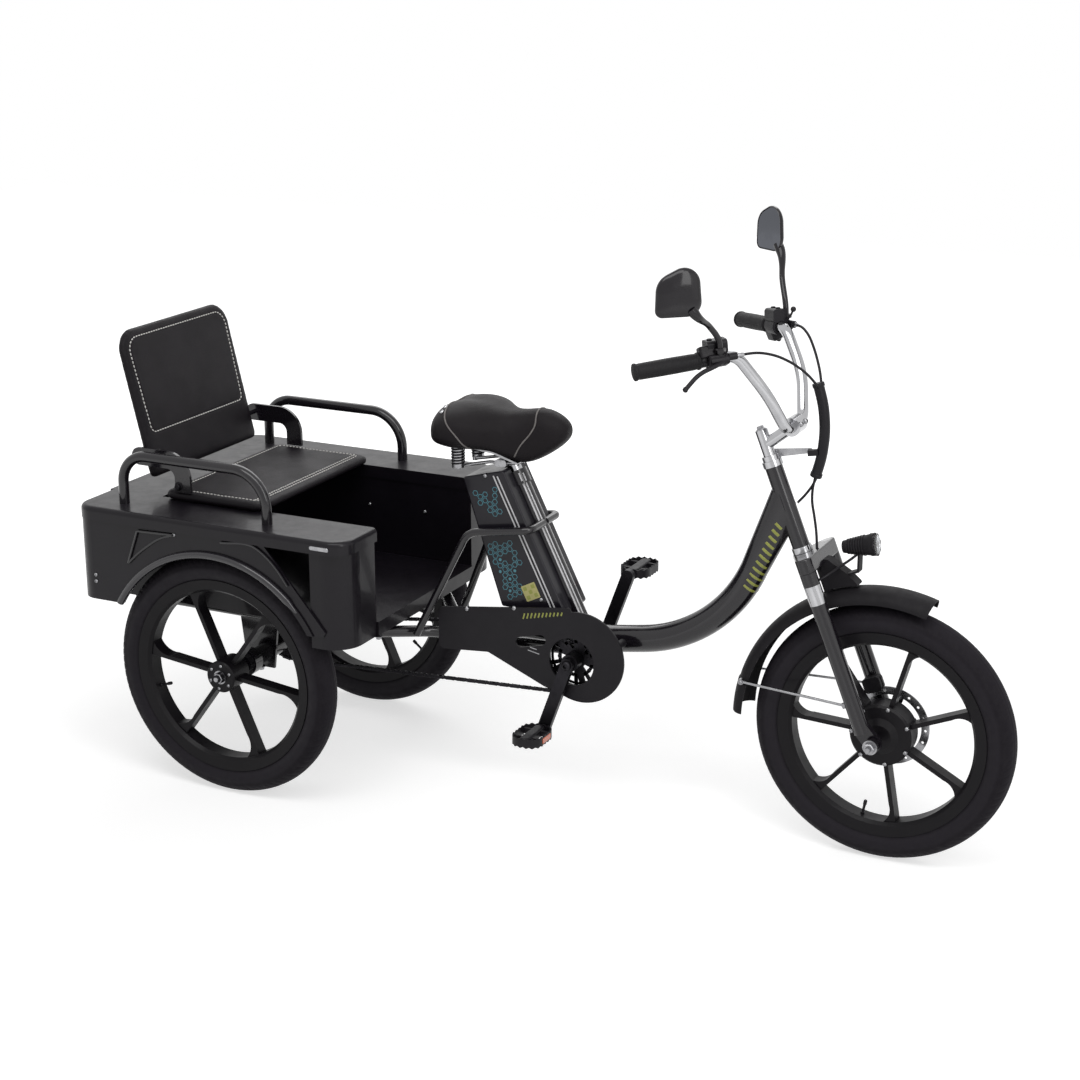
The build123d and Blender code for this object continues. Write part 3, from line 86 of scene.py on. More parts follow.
def aimCamera():
    data = bpy.data.cameras.new("viewpoint")
    data.lens = viewFrom["lens"]
    data.sensor_width = 36
    data.clip_end = 60
    camera = bpy.data.objects.new("viewpoint", data)
    turn = Euler((math.radians(90 - viewFrom["elevation"]), 0, math.radians(viewFrom["azimuth"])))
    spin = Matrix.Rotation(math.radians(viewFrom["roll"]), 4, "Z")
    camera.matrix_world = Matrix.Translation(viewFrom["place"]) @ turn.to_matrix().to_4x4() @ spin
    scene.collection.objects.link(camera)
    scene.camera = camera


def softLamp(name, place, target, size, power):
    data = bpy.data.lights.new(name, "AREA")
    data.shape = "RECTANGLE"
    data.size, data.size_y = size
    data.energy = power
    lamp = bpy.data.objects.new(name, data)
    lamp.location = place
    lamp.rotation_mode = "QUATERNION"
    lamp.rotation_quaternion = (Vector(target) - Vector(place)).to_track_quat("-Z", "Y")
    scene.collection.objects.link(lamp)


aimCamera()


def tone(red, green, blue):  # a display colour, 0 to 255, as the linear colour that the shader mixes
    parts = [part / 255 for part in (red, green, blue)]
    return (*[p / 12.92 if p <= 0.04045 else ((p + 0.055) / 1.055) ** 2.4 for p in parts], 1.0)


class Wire:
    # a node's output socket that takes part in ordinary arithmetic
    def __init__(self, finish, socket):
        self.finish = finish
        self.socket = socket

    def math(self, operation, first, second):
        return self.finish.node("ShaderNodeMath", {"operation": operation}, {0: first, 1: second})

    def __add__(self, other):
        return self.math("ADD", self, other)

    def __sub__(self, other):
        return self.math("SUBTRACT", self, other)

    def __rsub__(self, other):
        return self.math("SUBTRACT", other, self)

    def __mul__(self, other):
        return self.math("MULTIPLY", self, other)

    def __mod__(self, other):
        return self.math("FLOORED_MODULO", self, other)

    def __abs__(self):
        return self.math("ABSOLUTE", self, 0.0)

    __radd__ = __add__
    __rmul__ = __mul__

    def least(self, other):
        return self.math("MINIMUM", self, other)

    def most(self, other):
        return self.math("MAXIMUM", self, other)


class Nodes:
    # the node tree of a material or a world, emptied and filled through one method
    def __init__(self, owner):
        self.owner = owner
        owner.use_nodes = True
        self.tree = owner.node_tree
        self.tree.nodes.clear()

    def node(self, kind, settings=None, values=None, output=0):
        made = self.tree.nodes.new(kind)
        for key, value in (settings or {}).items():
            if key == "stops":  # a ramp's (place, colour) pairs
                ramp = made.color_ramp
                ramp.elements[0].position, ramp.elements[0].color = value[0]
                ramp.elements[1].position, ramp.elements[1].color = value[-1]
                for place, colour in value[1:-1]:
                    ramp.elements.new(place).color = colour
            else:
                setattr(made, key, value)
        for key, value in (values or {}).items():
            if isinstance(value, Wire):
                self.tree.links.new(value.socket, made.inputs[key])
            else:
                made.inputs[key].default_value = value
        return Wire(self, made.outputs[output] if made.outputs else None)

    def seenRays(self):  # 1 for camera, glossy and transmission rays, which all meet the same background
        glossy, clear, camera = [self.node("ShaderNodeLightPath", output=f"Is {ray} Ray")
                                 for ray in ("Glossy", "Transmission", "Camera")]
        return camera.most(glossy).most(clear)


class Finish(Nodes):
    # a material being put together round one Principled shader
    def __init__(self, name, **constants):
        super().__init__(bpy.data.materials.new(name))
        shader = self.node("ShaderNodeBsdfPrincipled")
        self.node("ShaderNodeOutputMaterial", values={0: shader})
        self.inputs = shader.socket.node.inputs
        for key, value in constants.items():
            self.inputs[key.replace("_", " ")].default_value = value

    def place(self, stretch=(1, 1, 1)):  # object coordinates, stretched along the axes
        where = self.node("ShaderNodeTexCoord", output="Object")
        return self.node("ShaderNodeMapping", values={"Vector": where, "Scale": stretch})

    def axes(self):
        where = self.node("ShaderNodeTexCoord", output="Object")
        split = self.node("ShaderNodeSeparateXYZ", values={0: where}).socket.node
        return [Wire(self, split.outputs[i]) for i in range(3)]

    def noise(self, scale, detail=3.0, rough=0.5, stretch=(1, 1, 1)):
        values = {"Vector": self.place(stretch), "Scale": scale, "Detail": detail, "Roughness": rough}
        return self.node("ShaderNodeTexNoise", values=values)

    def cells(self, scale, feature="F1", stretch=(1, 1, 1), randomness=1.0):
        values = {"Vector": self.place(stretch), "Scale": scale, "Randomness": randomness}
        return self.node("ShaderNodeTexVoronoi", {"feature": feature}, values, "Distance")

    def between(self, value, low, high, outLow=0.0, outHigh=1.0):
        values = {0: value, 1: low, 2: high, 3: outLow, 4: outHigh}
        return self.node("ShaderNodeMapRange", {"clamp": True}, values)

    def blend(self, amount, first, second):
        return self.node("ShaderNodeMix", {"data_type": "RGBA"}, {0: amount, 6: first, 7: second}, 2)

    def bump(self, height, distance, strength=1.0):
        values = {"Height": height, "Distance": distance, "Strength": strength}
        return self.node("ShaderNodeBump", values=values)

    def set(self, **wires):
        for key, wire in wires.items():
            self.tree.links.new(wire.socket, self.inputs[key.replace("_", " ")])
        return self.owner


def paintedMetal(name, colour, dust, roughness, peel=0.00004, coat=0.5, metallic=0.0):
    # sprayed metal: a slow change of tone, fine orange peel and a few duller places
    made = Finish(name, Metallic=metallic, Specular_IOR_Level=0.14, Coat_Weight=coat, Coat_Roughness=0.1)
    cloud = made.noise(5.0, 4.0, 0.6)
    peelNoise = made.noise(900.0, 2.0)
    flake = made.noise(2600.0, 1.0)
    colourWire = made.blend(made.between(cloud, 0.35, 0.75) * 0.5 + made.between(flake, 0.62, 0.75) * 0.25,
                            colour, dust)
    smear = made.between(made.noise(28.0, 4.0, 0.7), 0.3, 0.75, roughness - 0.05, roughness + 0.1)
    return made.set(Base_Color=colourWire, Roughness=smear, Normal=made.bump(peelNoise, peel, 0.6))


def mouldedPlastic(name, colour, dust, roughness, grain=1400.0, depth=0.00012):
    # moulded plastic: a fine leathery spark-eroded grain under a slight sheen
    made = Finish(name, IOR=1.48, Specular_IOR_Level=0.22)
    cellHeight = made.cells(grain)
    cloud = made.noise(9.0, 3.0)
    tint = made.blend(made.between(cloud, 0.35, 0.7) * 0.6, colour, dust)
    sheen = made.between(made.noise(60.0, 3.0), 0.3, 0.7, roughness - 0.06, roughness + 0.06)
    height = cellHeight * 0.7 + made.noise(3200.0, 1.0) * 0.3
    return made.set(Base_Color=tint, Roughness=sheen, Normal=made.bump(height, depth, 0.5))


def tyreRubber(name, colour, worn):
    # rubber: dusty on the tread; on the sidewall a band that is smoother and painted paler as a highlight
    made = Finish(name, IOR=1.5, Specular_IOR_Level=0.16)
    along = made.node("ShaderNodeUVMap", {"uv_map": "wrap"})
    split = made.node("ShaderNodeSeparateXYZ", values={0: along}).socket.node
    bead = abs(Wire(made, split.outputs[1]) - 0.5)  # 0 on the crown, 0.5 at the rim
    smoothHighlightBand = made.between(bead, 0.27, 0.31) * made.between(bead, 0.43, 0.46, 1.0, 0.0)
    scuff = made.noise(70.0, 5.0, 0.65)
    dusty = made.between(bead, 0.1, 0.2, 1.0, 0.0) * made.between(scuff, 0.4, 0.7)
    # the sidewall band's paler tint is a painted highlight; the dust on the tread is real
    tint = made.blend(dusty * 0.7 + smoothHighlightBand * 0.35, colour, worn)
    rough = made.between(scuff, 0.3, 0.7, 0.62, 0.8) - smoothHighlightBand * 0.14
    return made.set(Base_Color=tint, Roughness=rough, Normal=made.bump(made.noise(1800.0, 2.0), 0.0001, 0.5))


def plainRubber(name, colour, worn):
    made = Finish(name, IOR=1.5, Specular_IOR_Level=0.2)
    scuff = made.noise(120.0, 4.0, 0.6)
    tint = made.blend(made.between(scuff, 0.4, 0.75) * 0.6, colour, worn)
    return made.set(Base_Color=tint, Roughness=made.between(scuff, 0.3, 0.7, 0.5, 0.7),
                    Normal=made.bump(made.noise(2400.0, 2.0), 0.00008, 0.5))


def polishedMetal(name, colour, shade, roughness):
    # chrome plate: faint smears and hairline wiping marks
    made = Finish(name, Metallic=1.0)
    smear = made.noise(35.0, 4.0, 0.7)
    hair = made.noise(700.0, 2.0, 0.5, (1, 1, 0.06))
    rough = made.between(smear, 0.35, 0.75, roughness, roughness + 0.08) + made.between(hair, 0.5, 0.8) * 0.03
    tint = made.blend(made.between(smear, 0.3, 0.8) * 0.5, colour, shade)
    return made.set(Base_Color=tint, Roughness=rough, Normal=made.bump(hair, 0.00001, 0.3))


def brushedMetal(name, colour, shade, roughness, stretch=(1, 1, 0.08)):
    # plated or turned steel with brush lines and duller spots
    made = Finish(name, Metallic=1.0)
    lines = made.noise(900.0, 3.0, 0.6, stretch)
    spot = made.noise(45.0, 4.0, 0.65)
    tint = made.blend(made.between(spot, 0.4, 0.8) * 0.6 + made.between(lines, 0.4, 0.7) * 0.3, colour, shade)
    rough = made.between(spot, 0.3, 0.8, roughness - 0.05, roughness + 0.12)
    return made.set(Base_Color=tint, Roughness=rough, Normal=made.bump(lines, 0.00004, 0.4))


def grainedLeather(name, colour, creaseShadeAndWear, cell, depth, roughness):
    # leather or vinyl: rounded pebbles between fine creases painted darker as shade, worn smoother and darker
    # here and there
    made = Finish(name, IOR=1.46, Specular_IOR_Level=0.17)
    pebble = made.cells(cell, "DISTANCE_TO_EDGE")
    height = made.between(pebble, 0.0, 0.22) * 0.6 + made.noise(cell * 0.35, 3.0) * 0.4
    wear = made.noise(14.0, 4.0, 0.6)
    # painted shade in the creases: near the pebbles' edges the tint goes to the darker colour; worn places
    # lean to it too
    tint = made.blend(made.between(pebble, 0.02, 0.12, 0.6, 0.0) + made.between(wear, 0.45, 0.8) * 0.35,
                      colour, creaseShadeAndWear)
    rough = made.between(wear, 0.3, 0.75, roughness - 0.06, roughness + 0.08)
    return made.set(Base_Color=tint, Roughness=rough, Normal=made.bump(height, depth, 0.7))


def twistedThread(name, colour, shade):
    made = Finish(name, Roughness=0.75)
    twist = made.node("ShaderNodeTexWave", {"bands_direction": "DIAGONAL"},
                      {"Vector": made.place(), "Scale": 260.0, "Distortion": 1.5})
    tint = made.blend(twist * 0.5, colour, shade)
    return made.set(Base_Color=tint, Normal=made.bump(twist, 0.0001, 0.6))


def printedFoil(name, colour, shade, roughness=0.35):
    made = Finish(name, Coat_Weight=0.3, Coat_Roughness=0.2)
    speck = made.noise(1500.0, 2.0)
    wear = made.noise(55.0, 4.0, 0.7)
    tint = made.blend(made.between(wear, 0.5, 0.8) * 0.6 + made.between(speck, 0.6, 0.8) * 0.3, colour, shade)
    return made.set(Base_Color=tint, Roughness=made.between(wear, 0.3, 0.8, roughness, roughness + 0.2))


def lensPlastic(name, colour, deep, roughness=0.12):
    # coloured lens: prism ribs inside a clear gloss skin
    made = Finish(name, IOR=1.49, Coat_Weight=0.8, Coat_Roughness=0.06)
    y, z = made.axes()[1:]
    ribs = abs((z * 330.0) % 1.0 - 0.5) * 2.0
    cross = abs((y * 330.0) % 1.0 - 0.5) * 2.0
    prism = ribs.least(cross)
    tint = made.blend(made.between(prism, 0.0, 0.6, 0.8, 0.0), colour, deep)
    return made.set(Base_Color=tint, Roughness=made.between(prism, 0.0, 1.0, roughness, roughness + 0.15),
                    Normal=made.bump(prism, 0.0004, 0.5))


def clearLens(name):
    made = Finish(name, Transmission_Weight=1.0, IOR=1.45, Base_Color=(0.93, 0.95, 0.97, 1))
    haze = made.noise(90.0, 3.0)
    return made.set(Roughness=made.between(haze, 0.4, 0.8, 0.02, 0.08))


finishes = {
    "frame_paint": paintedMetal("frame_paint", tone(20, 17, 22), tone(28, 25, 31), 0.24, coat=0.75),
    "panel_paint": paintedMetal("panel_paint", tone(19, 16, 21), tone(28, 25, 31), 0.34, 0.00006, 0.2),
    "black_plastic": mouldedPlastic("black_plastic", tone(22, 20, 24), tone(31, 29, 33), 0.42),
    "gloss_black": paintedMetal("gloss_black", tone(23, 20, 24), tone(29, 26, 31), 0.2, 0.00001, 0.4),
    "battery_shell": paintedMetal("battery_shell", tone(22, 20, 26), tone(33, 30, 38), 0.34, 0.00003, 0.3),
    "tyre_rubber": tyreRubber("tyre_rubber", tone(24, 21, 26), tone(38, 35, 41)),
    "grip_rubber": plainRubber("grip_rubber", tone(23, 22, 24), tone(34, 33, 35)),
    "wheel_alloy": paintedMetal("wheel_alloy", tone(13, 11, 14), tone(19, 17, 21), 0.45, 0.00004, 0.06),
    "chrome": polishedMetal("chrome", tone(180, 180, 182), tone(150, 151, 154), 0.1),
    "bright_steel": brushedMetal("bright_steel", tone(158, 158, 160), tone(118, 118, 122), 0.26),
    "dark_steel": brushedMetal("dark_steel", tone(46, 45, 48), tone(30, 29, 32), 0.4),
    "leather": grainedLeather("leather", tone(24, 20, 23), tone(14, 12, 13), 720.0, 0.0003, 0.52),
    "seat_vinyl": grainedLeather("seat_vinyl", tone(22, 18, 23), tone(14, 12, 14), 900.0, 0.00022, 0.46),
    "stitch_thread": twistedThread("stitch_thread", tone(232, 230, 226), tone(186, 184, 180)),
    "decal_print": printedFoil("decal_print", tone(70, 134, 148), tone(48, 100, 114)),
    "stripe_white": printedFoil("stripe_white", tone(214, 214, 216), tone(176, 176, 179)),
    "red_lens": lensPlastic("red_lens", tone(178, 24, 22), tone(96, 8, 8)),
    "amber_lens": lensPlastic("amber_lens", tone(235, 104, 32), tone(176, 62, 14)),
    "lamp_glass": clearLens("lamp_glass"),
    # painted reflection: the mirror glass is given a dark grey colour, as if a dark room were seen in it
    "mirror_glass": polishedMetal("mirror_glass", tone(86, 88, 94), tone(78, 80, 85), 0.02),
}
extraFinishes = {  # further finishes that share a slot of the list above
    "limePrint": printedFoil("lime_print", tone(150, 154, 66), tone(112, 118, 46)),
    "paleSquare": printedFoil("pale_square", tone(184, 178, 112), tone(154, 150, 88)),
    "ledWhite": printedFoil("led_white", tone(238, 240, 242), tone(208, 212, 216), 0.2),
}
mattBlack = mouldedPlastic("matt_black", tone(15, 13, 16), tone(22, 20, 24), 0.65)
ownFinish = {"front_fender": mattBlack, "brake_calliper": mattBlack, "headlight": mattBlack,
             "saddle_frame": finishes["bright_steel"]}  # nodes whose finish differs from their slot's
slotOf = {sub["node"]: sub["material_slot"] for sub in frame["record"]["subparts"]}
for nodeName, node in frame["nodes"].items():
    for index in range(max(1, len(node.material_slots))):
        if not node.material_slots:
            node.data.materials.append(finishes[slotOf[nodeName]])
        node.material_slots[index].material = ownFinish.get(nodeName, finishes[slotOf[nodeName]])
print("finishes made")


def gridQuads(rows, columns, wrapRows=False, wrapColumns=True):
    # each quad joins a grid point to its neighbours along the two parameters
    r, c = np.meshgrid(np.arange(rows - (not wrapRows)), np.arange(columns - (not wrapColumns)),
                       indexing="ij")
    rn, cn = (r + 1) % rows, (c + 1) % columns
    corners = (r * columns + c, rn * columns + c, rn * columns + cn, r * columns + cn)
    return np.stack(corners, -1).reshape(-1, 4)


def sheetOf(points, wrapRows=False, wrapColumns=True):
    rows, columns = points.shape[:2]
    return points.reshape(-1, 3), gridQuads(rows, columns, wrapRows, wrapColumns)


def joined(shapes):
    counts = np.cumsum([0] + [len(points) for points, quads in shapes[:-1]])
    return (np.concatenate([points for points, quads in shapes]),
            np.concatenate([quads + shift for (points, quads), shift in zip(shapes, counts)]))


def unit(vectors):
    return vectors / np.maximum(np.linalg.norm(vectors, axis=-1, keepdims=True), 1e-12)


def turned(profile, sides=24):
    # a (radius, height) profile carried round the z axis
    radius, height = np.array(profile, float).T
    angle = np.linspace(0, tau, sides, endpoint=False)
    return sheetOf(np.stack((radius[:, None] * np.cos(angle), radius[:, None] * np.sin(angle),
                             np.repeat(height[:, None], sides, 1)), -1))


def rod(radius, height, sides=24):
    return turned([(0, 0), (radius, 0), (radius, height), (0, height)], sides)


def capped(points):
    # a grid of rings whose two end rings close on their middles
    first, last = [np.broadcast_to(points[i].mean(0), points[:1].shape) for i in (0, -1)]
    return sheetOf(np.concatenate((first, points, last)))


def sized(shape, size, shift=0.0):
    return shape[0] * size + shift, shape[1]


def placed(shape, origin, zAxis, xAxis=None):
    # the shape's own z axis turned to zAxis, its x axis as near to xAxis as that allows
    zAxis = unit(np.array(zAxis, float))
    guide = np.array(xAxis, float) if xAxis is not None else np.eye(3)[np.argmin(np.abs(zAxis))]
    yAxis = unit(np.cross(zAxis, guide))
    return shape[0] @ np.stack((np.cross(yAxis, zAxis), yAxis, zAxis)) + np.array(origin), shape[1]


def scattered(shape, origins, zAxes, xAxes=None, sizes=None):
    # one copy of the shape at each origin, all worked out together by broadcasting
    origins = np.atleast_2d(np.array(origins, float))
    zAxes = unit(np.broadcast_to(np.array(zAxes, float), origins.shape))
    guide = np.array(xAxes, float) if xAxes is not None else np.array([0.31, 0.52, 0.79])
    yAxes = unit(np.cross(zAxes, np.broadcast_to(guide, origins.shape)))
    turns = np.stack((np.cross(yAxes, zAxes), yAxes, zAxes), 1)
    scale = np.ones(len(origins)) if sizes is None else np.array(sizes, float)
    points = np.einsum("kc,nca->nka", shape[0], turns) * scale[:, None, None] + origins[:, None]
    shifts = np.arange(len(origins)) * len(shape[0])
    return points.reshape(-1, 3), (shape[1][None] + shifts[:, None, None]).reshape(-1, 4)


def tubeAlong(path, radius, sides=14, closed=False, flat=None, guide=None):
    # circles, or ellipses by the two factors in flat, carried along a path; open ends are closed to a point
    path = np.array(path, float)
    count = len(path)
    reach = (np.roll(path, -1, 0) - np.roll(path, 1, 0)) if closed else np.gradient(path, axis=0)
    tangent = unit(reach)
    if guide is None:
        guide = np.eye(3)[np.argmin(np.abs(tangent).sum(0))]
    sideways = unit(np.cross(tangent, guide))
    lift = np.cross(tangent, sideways)
    radius = np.broadcast_to(np.array(radius, float), count)
    if not closed:
        path = np.concatenate((path[:1], path, path[-1:]))
        sideways, lift = [np.concatenate((a[:1], a, a[-1:])) for a in (sideways, lift)]
        radius = np.concatenate(([0.0], radius, [0.0]))
    wide, high = flat or (1.0, 1.0)
    angle = np.linspace(0, tau, sides, endpoint=False)[None, :, None]
    ring = sideways[:, None] * np.cos(angle) * wide + lift[:, None] * np.sin(angle) * high
    return sheetOf(path[:, None] + ring * radius[:, None, None], wrapRows=closed)


def smoothLine(points, count=60, closed=False):
    # a cubic through the points, each slope set by its two neighbours
    points = np.array(points, float)
    if closed:
        points = np.concatenate((points[-2:], points, points[:3]))
    place = np.concatenate(([0], np.cumsum(np.linalg.norm(np.diff(points, axis=0), axis=1))))
    slope = np.gradient(points, place, axis=0)
    low, high = (place[2], place[-3]) if closed else (place[0], place[-1])
    at = np.linspace(low, high, count, endpoint=not closed)
    index = np.clip(np.searchsorted(place, at, "right") - 1, 0, len(place) - 2)
    span = (place[index + 1] - place[index])[:, None]
    t = ((at - place[index]) / span[:, 0])[:, None]
    return ((2 * t**3 - 3 * t**2 + 1) * points[index] + (t**3 - 2 * t**2 + t) * span * slope[index]
            + (3 * t**2 - 2 * t**3) * points[index + 1] + (t**3 - t**2) * span * slope[index + 1])


def evenly(points, step, closed=False):
    # the same line with points a step apart along it
    points = np.array(points, float)
    if closed:
        points = np.concatenate((points, points[:1]))
    place = np.concatenate(([0], np.cumsum(np.linalg.norm(np.diff(points, axis=0), axis=1))))
    count = max(2, round(place[-1] / step))
    at = np.linspace(0, place[-1], count, endpoint=False) if closed else np.linspace(0, place[-1], count + 1)
    return np.stack([np.interp(at, place, points[:, axis]) for axis in range(points.shape[1])], 1)


def hullOutline(circles, count=96):
    # outer line round some circles, each given as x, y, radius: the furthest one is taken in every direction
    circles = np.array(circles, float)
    angle = np.linspace(0, tau, 720, endpoint=False)
    normal = np.stack((np.cos(angle), np.sin(angle)), 1)
    reach = normal @ circles[:, :2].T + circles[:, 2]
    best = np.argmax(reach, 1)
    outline = circles[best, :2] + circles[best, 2:] * normal
    length = np.linalg.norm(np.roll(outline, -1, 0) - outline, axis=1).sum()
    return evenly(outline, length / count, closed=True)


def board(halfX, halfY, corner, count=96):
    # outline of a rectangle whose corners are arcs, from the half distances between the arcs' middles
    return hullOutline([(x, y, corner) for x in (-halfX, halfX) for y in (-halfY, halfY)], count)


def strap(half, radius, count=40):
    # outline of a bar with round ends, along x
    return hullOutline([(x, 0, radius) for x in (-half, half)], count)


def raised(plan, level):
    # a flat outline put at one height, or at one for each of its points
    return np.concatenate((plan, np.broadcast_to(level, (len(plan), 1))), 1)


def stacked(layers, wrapRows=False):
    return sheetOf(np.array([raised(plan, level) for plan, level in layers]), wrapRows)


def outlineNormals(outline):
    along = np.roll(outline, -1, 0) - np.roll(outline, 1, 0)
    return unit(np.stack((along[:, 1], -along[:, 0]), 1))


def pillow(outline, bottom, top, edge, crown=0.0, rings=7, bottomCrown=0.0):
    # rounded edges follow the outline inwards, then both faces close on the middle and rise by a crown
    normal = outlineNormals(outline)
    middle = outline.mean(0)
    inset = outline - normal * edge
    shares = np.linspace(0, 1, rings, endpoint=False)
    bends = [(math.sin(angle), math.cos(angle)) for angle in np.linspace(0, math.pi / 2, 7)]
    layers = [(middle + (inset - middle) * share, bottom - bottomCrown * (1 - share**2)) for share in shares]
    layers += [(outline - normal * edge * (1 - s), bottom + edge * (1 - c)) for s, c in bends]
    layers += [(outline - normal * edge * (1 - s), top - edge * (1 - c)) for s, c in bends[::-1]]
    layers += [(middle + (inset - middle) * share, top + crown * (1 - share**2)) for share in shares[::-1]]
    return stacked(layers)


def slab(outline, thickness, edge=0.0):
    # a flat plate from a plan outline, its rims a little rounded
    normal = outlineNormals(outline)
    middle = outline.mean(0)
    edge = min(edge, thickness / 2)
    inset = outline - normal * edge
    stack = [(middle + 0 * outline, 0), (inset, 0), (outline, edge), (outline, thickness - edge),
             (inset, thickness), (middle + 0 * outline, thickness)]
    return stacked(stack)


def hoop(inner, outer, low, high, sides=64):
    # a flat-faced ring round the z axis
    rows = turned([(inner, low), (outer, low), (outer, high), (inner, high)], sides)[0]
    return sheetOf(rows.reshape(4, sides, 3), wrapRows=True)


def makePiece(name, shapes, body, slotName, finish=None, sharp=35.0, wrapMap=None):
    points, quads = joined(shapes)
    mesh = bpy.data.meshes.new(name)
    mesh.from_pydata(points.tolist(), [], quads.tolist())
    if wrapMap is not None:
        layer = mesh.uv_layers.new(name="wrap")
        layer.data.foreach_set("uv", wrapMap.reshape(-1).astype(np.float32))
    work = bmesh.new()
    work.from_mesh(mesh)
    bmesh.ops.remove_doubles(work, verts=work.verts, dist=2e-6)
    bmesh.ops.recalc_face_normals(work, faces=work.faces)
    work.to_mesh(mesh)
    work.free()
    mesh.shade_smooth()
    mesh.set_sharp_from_angle(angle=math.radians(sharp))
    mesh.materials.append(finish or finishes[slotName])
    piece = bpy.data.objects.new(name, mesh)
    scene.collection.objects.link(piece)
    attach(piece, body)
    return piece


def surfaceOf(piece):
    graph = bpy.context.evaluated_depsgraph_get()
    return BVHTree.FromObject(piece, graph)


def hitArrays(hits):
    return [np.array([list(hit[part]) for hit in hits]) for part in (0, 1)]


def dropped(tree, starts, direction):
    # where rays from the starts meet the surface, with its normals there
    hits = [tree.ray_cast(Vector(start), Vector(direction)) for start in starts]
    return hitArrays([hit for hit in hits if hit[0] is not None])


hexBolt = joined([turned([(0, 0), (1.3, 0), (1.3, 0.16), (1.2, 0.22), (0, 0.22)], 20),
                  turned([(0, 0.2), (1, 0.2), (1, 0.85), (0.86, 1.0), (0, 1.0)], 6)])
domeBolt = turned([(0, 0), (1, 0), (1, 0.16), (0.93, 0.42), (0.74, 0.66), (0.5, 0.78), (0.42, 0.78),
                   (0.4, 0.42), (0, 0.42)], 18)
nutShape = joined([rod(1.28, 0.15, 20),
                   turned([(0, 0.1), (1, 0.1), (1, 0.9), (0.88, 1.0), (0, 1.0)], 6),
                   turned([(0, 0.9), (0.5, 0.9), (0.5, 1.35), (0.42, 1.5), (0, 1.5)], 14)])


tyreShape = {"rows": 768, "columns": 72, "middle": 0.229, "high": 0.031, "bead": 0.02272, "seat": 0.20335,
             "grooves": (8, 23), "grooveDepth": 0.0011, "sipes": 96, "sipeDepth": 0.0009}


def tyrePiece(name, nodeName, body, hub, halfWidth):
    # an elliptic section turned round the axle; ring grooves and slanted sipes are cut inwards
    u = np.linspace(0, tau, tyreShape["rows"], endpoint=False)[:, None]
    phi = np.radians(np.linspace(-128.5, 128.5, tyreShape["columns"] - 4))
    cut = np.zeros_like(u + phi)
    degrees = np.degrees(phi)
    for groove in tyreShape["grooves"]:
        cut = np.maximum(cut, np.exp(-((np.abs(degrees) - groove) / 1.9) ** 2) * tyreShape["grooveDepth"])
    wave = np.abs(((u * tyreShape["sipes"] / tau + np.abs(degrees) * 0.02 + (degrees > 0) * 0.5) % 1) - 0.5)
    zone = np.clip((np.abs(degrees) - 28) / 3, 0, 1) * np.clip((62 - np.abs(degrees)) / 3, 0, 1)
    cut = np.maximum(cut, np.clip(1 - wave / 0.17, 0, 1) * zone * tyreShape["sipeDepth"])
    for ring in (70, 112):
        cut = np.maximum(cut, np.exp(-((np.abs(degrees) - ring) / 1.6) ** 2) * 0.0005)
    radius = tyreShape["middle"] + (tyreShape["high"] - cut) * np.cos(phi)
    side = (halfWidth - cut) * np.sin(phi)
    ones = np.ones_like(u)
    bead, seat = tyreShape["bead"], tyreShape["seat"]
    radius = np.concatenate((ones * seat, ones * 0.2094, radius, ones * 0.2094, ones * seat), 1)
    side = np.concatenate((-ones * bead, -ones * bead, side, ones * bead, ones * bead), 1)
    x = hub[0] + radius * np.cos(u)
    z = axleZ + radius * np.sin(u)
    points = np.stack((x, hub[1] + side, z), -1)
    shape = sheetOf(points, True, True)
    columns = points.shape[1]
    corner = shape[1] % columns / (columns - 1)
    turnShare = shape[1] // columns / tyreShape["rows"]
    piece = makePiece(name, [shape], body, "tyre_rubber", wrapMap=np.stack((turnShare, corner), -1))
    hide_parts(nodeName)


tyrePiece("front_tyre_tread", "front_tyre", "front_wheel", hubs["front"], 0.032)
tyrePiece("rear_tyre_left_tread", "rear_tyre_left", "rear_wheel_left", hubs["rearLeft"], 0.031)
tyrePiece("rear_tyre_right_tread", "rear_tyre_right", "rear_wheel_right", hubs["rearRight"], 0.031)
print("tyres made")


def puffed(piece, voxel, pressure, cap):
    # blown up a little by a cloth simulation, each point held to a short way from where it started
    remesh = piece.modifiers.new("remesh", "REMESH")
    remesh.mode = "VOXEL"
    remesh.voxel_size = voxel
    bakeModifiers(piece)
    start = vertexArray(piece)
    cloth = piece.modifiers.new("cloth", "CLOTH")
    cloth.settings.use_pressure = True
    cloth.settings.uniform_pressure_force = pressure
    cloth.settings.effector_weights.gravity = 0
    cloth.settings.tension_stiffness = cloth.settings.compression_stiffness = 12
    cloth.settings.bending_stiffness = 2
    for step in range(1, 21):
        scene.frame_set(step)
    bakeModifiers(piece)
    scene.frame_set(1)
    move = vertexArray(piece) - start
    far = np.linalg.norm(move, axis=1, keepdims=True)
    move *= np.minimum(1, cap / np.maximum(far, 1e-9))
    writeVertices(piece, start + move)
    smooth = piece.modifiers.new("smooth", "SMOOTH")
    smooth.factor, smooth.iterations = 0.5, 4
    finer = piece.modifiers.new("finer", "SUBSURF")
    finer.levels = finer.render_levels = 1
    bakeModifiers(piece)
    piece.data.shade_smooth()


def bakeModifiers(piece):
    graph = bpy.context.evaluated_depsgraph_get()
    mesh = bpy.data.meshes.new_from_object(piece.evaluated_get(graph))
    kept = list(piece.data.materials)
    piece.modifiers.clear()
    piece.data = mesh
    mesh.materials.clear()
    for material in kept:
        mesh.materials.append(material)


def vertexArray(piece):
    flat = np.empty(len(piece.data.vertices) * 3)
    piece.data.vertices.foreach_get("co", flat)
    return flat.reshape(-1, 3)


def writeVertices(piece, points):
    piece.data.vertices.foreach_set("co", points.reshape(-1))
    piece.data.update()


